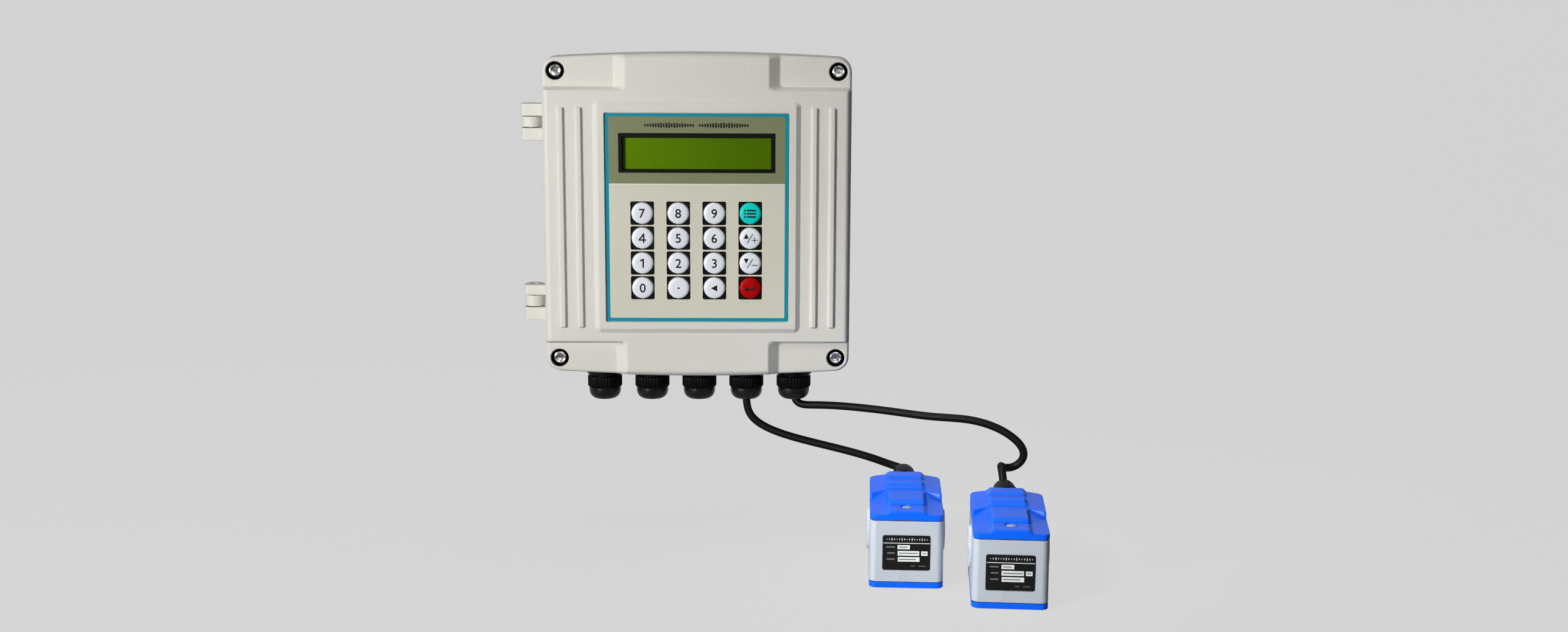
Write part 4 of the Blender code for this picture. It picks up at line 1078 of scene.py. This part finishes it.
def build_ribbon_cable():
    """Flat cable from the main board to the keypad board, grooved between its wires."""
    half_thickness, groove = 0.3, 0.55
    # x, d along the cable
    route = ((-60.0, 19.2), (-60.0, 20.6), (-60.4, 22.6), (-63.0, 24.8), (-67.5, 27.8),
             (-69.5, 32.0), (-67.5, 36.5), (-62.0, 40.0), (-57.6, 41.8), (-56.2, 43.0),
             (-56.0, 43.9))
    path = spline([(x, 0.0, d) for x, d in route], 5)
    section = [(-12.0 + k, groove if k % 2 else 1.0) for k in range(25)]
    rings = []
    for i, p in enumerate(path):
        t = tangent(path, i)
        nx, nd = t.z * half_thickness, -t.x * half_thickness
        rings.append([(p.x + nx * g, -(p.z + nd * g), z) for z, g in section]
                     + [(p.x - nx * g, -(p.z - nd * g), z) for z, g in section[::-1]])
    ribbon = make("flat_cable", loft(rings), RIBBON, sharp=60.0)
    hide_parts("ribbon_cable")
    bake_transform(ribbon)


# ---------------------------------------------------------------- cable glands of the converter
def ribbed_tube(name, profile, centre, axis, mat, first, last, depth):
    """Turned tube, ribbed and in the ribbed finish between two steps of its profile."""
    def wobble(angle, r, step):
        if not first <= step <= last:
            return r
        return r - depth * (0.5 - 0.5 * math.cos(RIB_COUNT * angle)) ** 0.6

    sides = RIB_COUNT * 6
    shape = turn(profile, centre, axis, sides, tube=True, wobble=wobble)
    index = [1 if first - 1 <= k // sides <= last else 0 for k in range(len(shape[1]))]
    return make(name, shape, mat, GLAND_RIB, index=index, sharp=50.0)


# clamping nut: ribbed sleeve, then a smooth domed end
NUT_PROFILE = [
    (8.6, -94.4), (9.3, -94.45), (9.85, -94.85), (9.9, -95.3), (9.9, -100.1), (9.75, -100.6),
    (9.25, -101.0), (9.0, -101.15), (9.0, -101.5), (9.02, -102.8), (8.9, -104.0), (8.55, -105.2),
    (8.0, -106.15), (7.25, -106.95), (6.3, -107.55), (5.4, -107.8), (4.5, -107.75),
    (4.0, -107.5), (3.6, -106.8), (3.0, -105.4), (2.75, -104.4), (2.75, -103.8), (7.9, -101.4),
    (7.9, -94.4)]
STEM_PROFILE = [(7.9 if k % 2 else 7.45, -76.0 - 0.75 * k) for k in range(19)] + [
    (7.5, -90.3), (7.5, -90.7), (9.0, -90.7), (9.0, -94.0), (7.5, -94.0), (7.5, -100.6),
    (7.1, -101.0)]
STEM_BORE = [(2.7, -101.0), (2.7, -76.0)]
HEXAGON_PROFILE = [(9.1, -90.72), (10.2, -91.1), (10.2, -93.6), (9.1, -93.98), (8.2, -93.98),
                   (8.2, -90.72)]
PLUG_PROFILE = [(2.4, -100.9), (2.65, -101.0), (2.65, -105.6), (2.4, -106.2), (1.6, -106.5)]
SLEEVE_PROFILE = [(2.22, -101.5), (2.6, -101.5), (2.6, -104.9), (2.5, -105.6), (2.22, -105.8)]


def build_glands():
    """Five glands; the two at the right carry cables, the others are plugged."""
    for i, x in enumerate(GLAND_X, 1):
        wired = i > 3
        nut = ribbed_tube(f"gland_cap_{i}", NUT_PROFILE, (x, -GLAND_D, 0), (0, 0, 1), GLAND,
                          first=2, last=6, depth=0.5)
        piece(nut, f"gland_nut_{i}", "gland_black", f"gland_nut_{i}")
        stem = STEM_PROFILE + STEM_BORE if wired else STEM_PROFILE
        part(f"gland_stem_{i}", turn_z(stem, x, GLAND_D, 48, tube=wired), GLAND_RIB,
             "base", "gland_black", f"gland_body_{i}", sharp=35.0)
        hexagon = bevelled(turn_z(HEXAGON_PROFILE, x, GLAND_D, 6, tube=True), 0.25, 2, 40.0)
        part(f"gland_hexagon_{i}", hexagon, GLAND_RIB, "base", "gland_black")
        name, profile = ("seal", SLEEVE_PROFILE) if wired else ("plug", PLUG_PROFILE)
        part(f"gland_{name}_{i}", turn_z(profile, x, GLAND_D, 32, tube=wired), RUBBER,
             "base", "gland_black")


# ---------------------------------------------------------------- transducers
# In their own frame: a across, b to the rear, h up.
def body_rings(steps):
    """Body outline lofted through (h, inset) steps."""
    return loft([[(a, b, h) for a, b in round_rect(-SENSOR_HALF_W + s, SENSOR_HALF_W - s, s,
                                                   SENSOR_LENGTH - s, SENSOR_R, 10)]
                 for h, s in steps])


def prism_a(outline_bh, half_width):
    return loft([[(a, b, h) for b, h in outline_bh] for a in (-half_width, half_width)])


def turn_b(profile, h, sides, a=0):
    return turn(profile, (a, 0, h), (0, 1, 0), sides)


def turn_h(profile, sides):
    return turn(profile, (0, COVER_SCREW_B, 0), (0, 0, 1), sides)


def gland_hole():
    return turn_b([(5.3, 60.0), (5.3, 66.0)], SENSOR_GLAND_H, 40)


SERRATIONS = 64


def serrated(angle, r, step):
    return r - (0.6 * (0.5 - 0.5 * math.cos(SERRATIONS * angle)) if 1 <= step <= 2 else 0.0)


def sensor_shell():
    """Grey housing with a serrated disc on each side and a label recess in front."""
    shell = make("shell", body_rings(((3.3, 0.35), (3.45, 0.12), (3.7, 0.0), (35.6, 0.2),
                                      (35.85, 0.28), (36.0, 0.5))), GREY)
    disc = [(10.9, 18.0), (10.9, 19.4), (10.9, 20.4), (10.4, 20.75), (9.4, 20.85), (9.1, 20.55),
            (4.0, 20.55), (3.8, 20.9), (3.2, 21.0)]
    hollow = loft([[(a, b, h) for a, b in round_rect(-16.7, 16.7, 2.6, 61.4, 1.2, 4)]
                   for h in (2.0, 38.0)])
    discs = [turn(disc, (0, 32.0, 22.5), (side, 0, 0), SERRATIONS * 4, wobble=serrated)
             for side in (-1, 1)]
    label_recess = loft([[(a, b, h) for a, h in round_rect(-12.5, 12.5, 9.5, 28.7, 1.3, 5)]
                         for b in (-1.0, 0.75)])
    return carve(shell, ("cut", hollow),
                 ("add", several(box(-4.5, 4.5, 1.2, 17.0, 25.0, SPLIT_H - 0.2), *discs)),
                 ("cut", several(gland_hole(), turn_h([(1.85, 27.5), (1.85, 38.0)], 24),
                                 label_recess, turn_b([(4.0, -1.0), (4.0, 0.07)], 4.9, 48, 0.4))))


def coupling_shoe():
    shoe = make("shoe", body_rings(((0.0, 0.35), (0.12, 0.12), (0.35, 0.0), (2.8, 0.0),
                                    (2.95, 0.1), (3.0, 0.25))), BLUE)
    wedge = [(19.0, 2.5), (52.0, 2.5), (52.0, 9.0), (26.0, 26.0), (19.0, 26.0)]
    return carve(shoe, ("add", bevelled(prism_a(wedge, 11.0), 0.4)))


def piezo_disc():
    slope = Vector((0.0, 17.0, 26.0)).normalized()      # normal of the wedge's slope
    profile = [(7.7, 0.35), (8.0, 0.6), (8.0, 1.6), (7.7, 1.85)]
    return make("disc", turn(profile, (0, 39.0, 17.5), slope, 48), CERAMIC)


# Each row is a section of the cover from front to rear: b and h of its outer edge,
# of the foot of the middle ridge and of the ridge's top.
COVER_RINGS = (
    (-1.0, 38.9, -1.0, 39.2, -1.0, 40.6), (0.35, 38.95, 0.35, 39.25, 0.35, 40.7),
    (0.65, 39.25, 0.65, 39.6, 0.65, 41.1), (1.1, 39.4, 1.1, 39.75, 1.1, 41.3),
    (2.0, 39.4, 2.0, 39.75, 2.0, 41.4), (13.2, 39.3, 13.4, 39.85, 13.9, 41.4),
    (13.9, 39.3, 14.1, 39.9, 14.4, 41.45), (15.1, 39.3, 15.4, 39.95, 15.6, 42.75),
    (15.6, 39.3, 15.9, 40.0, 16.2, 43.0), (20.0, 39.25, 27.0, 40.1, 31.0, 43.0),
    (31.6, 39.4, 35.4, 42.3, 35.4, 43.0), (32.4, 41.8, 36.2, 42.5, 36.6, 43.02),
    (33.2, 42.0, 37.6, 42.6, 38.0, 43.05), (36.0, 42.0, 38.6, 42.65, 39.0, 44.1),
    (40.0, 42.1, 39.6, 42.8, 39.7, 44.35), (42.2, 42.1, 42.0, 42.9, 42.5, 44.35),
    (42.5, 42.15, 42.7, 42.9, 43.0, 44.35), (43.6, 42.15, 43.6, 43.0, 44.0, 45.05),
    (44.4, 42.2, 44.5, 43.0, 44.8, 45.2), (46.0, 42.2, 46.4, 43.1, 46.6, 45.1),
    (47.0, 42.2, 47.4, 43.1, 47.6, 44.45), (47.6, 42.2, 48.0, 43.1, 48.3, 44.35),
    (52.4, 42.3, 52.4, 43.2, 52.8, 44.35), (52.9, 42.3, 53.0, 43.25, 53.3, 44.4),
    (54.3, 42.35, 54.4, 43.3, 54.6, 45.25), (54.9, 42.4, 55.0, 43.3, 55.3, 45.4),
    (65.0, 42.6, 65.0, 43.6, 65.0, 45.45))


def cover_ring(edge_b, edge_h, foot_b, foot_h, ridge_b, ridge_h):
    edge_a, foot_a, ridge_a = 20.5, 10.85, 8.8
    left = [(-edge_a, edge_b, 35.0), (-edge_a, edge_b, edge_h - 1.3),
            (-18.9, edge_b, edge_h - 0.15), (-18.0, edge_b, edge_h + 0.02),
            (-foot_a, foot_b, foot_h), (-ridge_a - 0.25, ridge_b, ridge_h - 0.3),
            (-ridge_a + 0.35, ridge_b, ridge_h)]
    return left + [(-a, b, h) for a, b, h in left[::-1]]


def triangulated(shape):
    """The shape with its quads split, as they aren't flat."""
    out = []
    for f in shape[1]:
        out += [(f[0], f[1], f[2]), (f[0], f[2], f[3])] if len(f) == 4 else [f]
    return shape[0], out


def top_cover():
    cover = make("cover", triangulated(loft([cover_ring(*row) for row in COVER_RINGS])), BLUE)
    rear = [(51.5, 35.0), (51.5, 43.0), (56.2, 43.0), (56.2, 44.15), (61.4, 44.15), (61.4, 35.0)]
    screw_hole = [(1.85, 35.0), (1.85, 40.0), (3.15, 40.0), (3.15, 41.0), (3.5, 41.5),
                  (3.6, 44.0)]
    return carve(
        cover, ("keep", body_rings(((36.3, 0.35), (36.6, 0.12), (37.0, 0.1), (60.0, 0.1)))),
        ("cut", several(box(-7.2, 7.2, 17.5, 50.0, 35.0, 40.6), prism_a(rear, 7.2))),
        ("cut", several(gland_hole(), turn_h(screw_hole, 40),
                        box(-5.0, 5.0, -1.0, 1.4, 35.5, 36.75))), sharp=24.0)


def cover_screw():
    """Screw with a cross recess, cut as two slots of almost equal depth."""
    profile = [(1.5, 28.5), (1.5, 40.3), (2.75, 40.3), (2.8, 40.8), (2.65, 41.05), (2.2, 41.25),
               (1.4, 41.3)]
    head = make("head", turn_h(profile, 40), CHROME)
    b, half_length, half_width = COVER_SCREW_B, 1.8, 0.38
    return carve(
        head,
        ("cut", bevelled(box(-half_length, half_length, b - half_width, b + half_width,
                             40.55, 42.0), 0.08, 1)),
        ("cut", bevelled(box(-half_width, half_width, b - half_length, b + half_length,
                             40.551, 42.1), 0.08, 1)))


def sensor_gland():
    profile = [(5.8, 58.6), (5.8, 61.1), (5.0, 61.1), (5.0, 64.4), (7.7, 64.4), (8.0, 64.7),
               (8.0, 71.5), (7.8, 72.0), (6.75, 72.25), (6.65, 73.0), (6.6, 78.0), (6.45, 81.5),
               (6.25, 84.5), (5.9, 86.3), (5.5, 87.4), (5.0, 88.2), (4.5, 88.7), (4.0, 88.95),
               (3.6, 88.8), (3.2, 88.2), (2.9, 87.2), (2.7, 86.0), (2.7, 58.6)]
    return ribbed_tube("cable_gland", profile, (0, 0, SENSOR_GLAND_H), (0, 1, 0), DULL,
                       first=5, last=6, depth=0.35)


def label_plate():
    rings = [[(a, b, h) for a, h in round_rect(-12.2 + s, 12.2 - s, 9.8 + s, 28.4 - s, 1.1)]
             for b, s in ((0.05, 0.08), (0.12, 0.0), (0.4, 0.0))]
    return make("label", loft(rings), LABEL)


def label_bars(name, rows, mat):
    """Flat bars on the label from rows of a0, a1, h0, h1 and the b of their front."""
    return make(name, several(*[box(a0, a1, b, 0.12, h0, h1) for a0, a1, h0, h1, b in rows]), mat)


def label_marks():
    rows = [(-12.1, 12.1, 24.15, 24.5, 0.02), (-4.7, 1.7, 21.1, 23.35, 0.02),
            (-4.6, 6.6, 17.65, 20.2, 0.02), (7.6, 10.9, 17.75, 20.1, 0.02),
            (-4.45, 6.8, 14.4, 16.9, 0.02)]
    heights = (0.4, 0.8, 1.4, 0.8) * 4 + (0.4,)
    rows += [(-10.4 + 1.3 * k, -10.4 + 1.3 * k + 0.42, 26.4 - t / 2, 26.4 + t / 2, 0.02)
             for k, t in enumerate(heights)]
    return label_bars("label_marks", rows, MARK)


def label_grey_marks():
    rows = [(-10.6, -6.1, 21.85, 22.55, 0.02), (-10.0, -6.1, 18.6, 19.3, 0.02),
            (-10.2, -6.1, 15.3, 16.0, 0.02), (-3.9, 0.4, 21.95, 22.5, 0.0),
            (-3.9, 5.9, 18.65, 19.2, 0.0), (8.3, 10.2, 18.65, 19.2, 0.0),
            (-3.9, 4.9, 15.35, 15.9, 0.0), (2.2, 4.4, 11.9, 12.25, 0.02),
            (6.4, 10.1, 11.9, 12.25, 0.02)]
    return label_bars("label_grey_marks", rows, MARK_DIM)


def build_sensors():
    """Build each piece once, then copy it into the place of both transducers."""
    # name, source, body, slot, replaced node
    built = (
        ("shell", sensor_shell(), "base", "sensor_grey", "housing"),
        ("shoe", coupling_shoe(), "base", "sensor_blue", "coupling_shoe"),
        ("disc", piezo_disc(), "base", "piezo_ceramic", "piezo_disc"),
        ("top_cover", top_cover(), "base", "sensor_blue", "cover"),
        ("screw", cover_screw(), "cover_screw", "steel", "cover_screw"),
        ("cable_gland", sensor_gland(), "gland", "gland_black", "gland"),
        ("label", label_plate(), "base", "label_black", "label_plate"),
        ("label_marks", label_marks(), "base", "label_black", None),
        ("label_grey_marks", label_grey_marks(), "base", "label_black", None))
    for key, ((x, y), yaw) in SENSORS.items():
        place = (Matrix.Translation(Vector((x, y, SENSOR_Z)) * MM)
                 @ Matrix.Rotation(math.radians(yaw), 4, "Z"))
        for name, source, body, slot, node in built:
            copy = bpy.data.objects.new(f"{name}_{key}", source.data.copy())
            bpy.context.scene.collection.objects.link(copy)
            copy.data.transform(place)
            if source.modifiers:
                weigh(copy)
            home = body if body == "base" else f"sensor_{key}_{body}"
            piece(copy, home, slot, *([f"sensor_{key}_{node}"] if node else []))
    for _, source, *_ in built:
        discard(source)


# ---------------------------------------------------------------- signal cables
def gland_axis(key, *distances):
    """Points on the axis of a transducer's gland, at distances b."""
    (x, y), yaw = SENSORS[key]
    t = math.radians(yaw)
    return [(x - b * math.sin(t), y + b * math.cos(t), SENSOR_Z + SENSOR_GLAND_H)
            for b in distances]


def drop(x, *heights):
    return [(x, -GLAND_D, z) for z in heights]


# x, y, z from the converter's gland to the transducer's
ROUTES = {
    "a": drop(GLAND_X[3], -74, -84, -94, -103, -112)
         + [(29.5, -25.2, -120), (41, -27, -127), (60, -30, -132), (82, -35, -136),
            (99, -38.5, -140), (110, -38, -144.5), (117.6, -40.5, -146)]
         + gland_axis("a", 92, 84, 75, 66, 57),
    "b": drop(GLAND_X[4], -74, -84, -94, -101, -107.5)
         + [(57.5, -26.6, -112.2), (67, -30, -111), (84, -35, -110.6), (108, -44, -111.2),
            (132, -53, -113), (152, -58.5, -112), (169, -63, -116.5), (180.5, -66.5, -124.5),
            (183.2, -66.5, -132.5), (177.5, -64, -139.3), (170, -66, -138.8),
            (168.4, -71.5, -134.8), (169.3, -76.3, -141), (169.2, -79.6, -145.8)]
         + gland_axis("b", 87, 79, 71, 64, 57),
}


def build_cables():
    for key, route in ROUTES.items():
        part(f"signal_cable_{key}", hose(spline(route, 9), CABLE_R, 28), CABLE,
             "base", "cable_black", f"sensor_{key}_cable", sharp=60.0)


# ---------------------------------------------------------------- studio, in metres
def paper():
    """Pale floor that glows for the camera and, behind the object, in reflections."""
    mat, tree = new_material("paper")
    where = add_node(tree, "TexCoord", {}).outputs["Object"]
    tone = remap(tree, noise(tree, {"Vector": where, "Scale": 3.0}), to=(0.058, 0.062))
    axes = add_node(tree, "SeparateXYZ", {0: where}).outputs
    flag = remap(tree, axes[0], span=(0.9, 1.9), to=(1.0, 0.0))     # darker towards the right
    behind = remap(tree, axes[1], span=(-0.4, 0.5))
    path = add_node(tree, "LightPath", {}).outputs
    mirrored = multiply(tree, path["Is Glossy Ray"], multiply(tree, flag, behind))
    seen = multiply_add(tree, mirrored, 0.9, path["Is Camera Ray"])
    set_inputs(tree, tree.nodes["Principled BSDF"], {
        "Base Color": tone, "Roughness": 0.9, "Specular IOR Level": 0.0,
        "Emission Color": (1, 1, 1, 1), "Emission Strength": remap(tree, seen, to=(0.07, 0.636))})
    return mat


def build_floor():
    """Floor that curves up into a backdrop."""
    floor_z, half_width, radius, bend_y = -0.1840, 14.0, 1.6, 1.2
    angles = [math.radians(5 * k) for k in range(19)]
    sweep = [(-7.0, 0.0)]
    sweep += [(bend_y + radius * math.sin(a), radius - radius * math.cos(a)) for a in angles]
    sweep += [(bend_y + radius, 9.0)]
    points = [(x, y, z + floor_z) for x in (-half_width, half_width) for y, z in sweep]
    n = len(sweep)
    mesh = bpy.data.meshes.new("studio_floor")
    mesh.from_pydata(points, [], [(k, k + 1, n + k + 1, n + k) for k in range(n - 1)])
    mesh.shade_smooth()
    floor = bpy.data.objects.new("studio_floor", mesh)
    bpy.context.scene.collection.objects.link(floor)
    mesh.materials.append(paper())
    return floor


def place_light(name, data, where, target):
    obj = bpy.data.objects.new(name, data)
    obj.location = where
    obj.rotation_euler = (Vector(target) - Vector(where)).to_track_quat("-Z", "Y").to_euler()
    bpy.context.scene.collection.objects.link(obj)
    return obj


def lamp(name, where, target, size, power, colour=(1, 1, 1)):
    data = bpy.data.lights.new(name, "AREA")
    data.shape, data.energy, data.color = "RECTANGLE", power, colour
    data.size, data.size_y = size
    return place_light(name, data, where, target)


def build_lights(floor):
    lamp("key", where=(-0.66, -0.895, 0.06), target=(0.0, 0.0, -0.02), size=(0.24, 0.24),
         power=10.8, colour=(1.0, 0.995, 0.98))
    lamp("over", where=(-0.05, -0.12, 1.25), target=(-0.02, -0.04, 0.0), size=(0.5, 0.3),
         power=3.6)
    lamp("front", where=(0.1, -2.2, 0.7), target=(0.03, 0.0, -0.05), size=(1.2, 0.8), power=2.4)
    rear = lamp("rear", where=(0.35, 1.5, 0.22), target=(0.05, 0.0, -0.05), size=(1.0, 0.8),
                power=10.0)
    # the rear lamp fills the back only, not the floor
    rear.visible_camera = rear.visible_glossy = False
    spared = bpy.data.collections.new("not_lit_from_behind")
    spared.objects.link(floor)
    spared.collection_objects[0].light_linking.link_state = "EXCLUDE"
    rear.light_linking.receiver_collection = spared
    beam = bpy.data.lights.new("top", "SPOT")
    beam.energy, beam.shadow_soft_size = 26.0, 0.08
    beam.spot_size, beam.spot_blend = math.radians(15), 0.6
    place_light("top", beam, where=(-0.43, -0.62, 0.46), target=(0.135, -0.12, -0.15))


def build_world():
    """Even dim light, but reflections show a room of dark and light patches."""
    world = bpy.data.worlds.new("soft_room")
    bpy.context.scene.world = world
    world.use_nodes = True
    tree = world.node_tree
    where = add_node(tree, "TexCoord", {}).outputs["Generated"]
    cloud = noise(tree, {"Vector": where, "Scale": 3.2, "Detail": 1.0})
    patches = remap(tree, cloud, span=(0.47, 0.56), to=(0.0, 0.9))
    glossy = add_node(tree, "LightPath", {}).outputs["Is Glossy Ray"]
    set_inputs(tree, tree.nodes["Background"], {
        "Color": (1.0, 1.0, 1.0, 1), "Strength": multiply_add(tree, patches, glossy, 0.035)})


def build_camera():
    tilt, yaw, roll = math.radians(10.25), math.radians(0.95), math.radians(0.30)
    x, y, z = 0.032, -1.021, 0.120
    forward = Vector((math.sin(yaw) * math.cos(tilt), math.cos(yaw) * math.cos(tilt),
                      -math.sin(tilt)))
    level = Vector((math.cos(yaw), -math.sin(yaw), 0.0))
    upright = level.cross(forward)
    right = level * math.cos(roll) + upright * math.sin(roll)
    up = -level * math.sin(roll) + upright * math.cos(roll)
    data = bpy.data.cameras.new("view")
    data.sensor_fit, data.sensor_width, data.lens = "HORIZONTAL", 36.0, 40.6
    data.clip_start, data.clip_end = 0.05, 30.0
    camera = bpy.data.objects.new("view", data)
    camera.matrix_world = Matrix(((right.x, up.x, -forward.x, x), (right.y, up.y, -forward.y, y),
                                  (right.z, up.z, -forward.z, z), (0, 0, 0, 1)))
    scene = bpy.context.scene
    scene.collection.objects.link(camera)
    scene.camera = camera
    scene.view_settings.view_transform = "Standard"
    scene.view_settings.look = "None"


# ---------------------------------------------------------------- build
build_lid()
build_base()
build_hinge_pins()
colour_seal()
build_lid_screws()
build_film()
build_keypad_plate()
build_keys()
build_title()
build_display()
build_keypad_board()
build_main_board()
build_terminals()
build_ribbon_cable()
build_glands()
build_sensors()
build_cables()
build_lights(build_floor())
build_world()
build_camera()
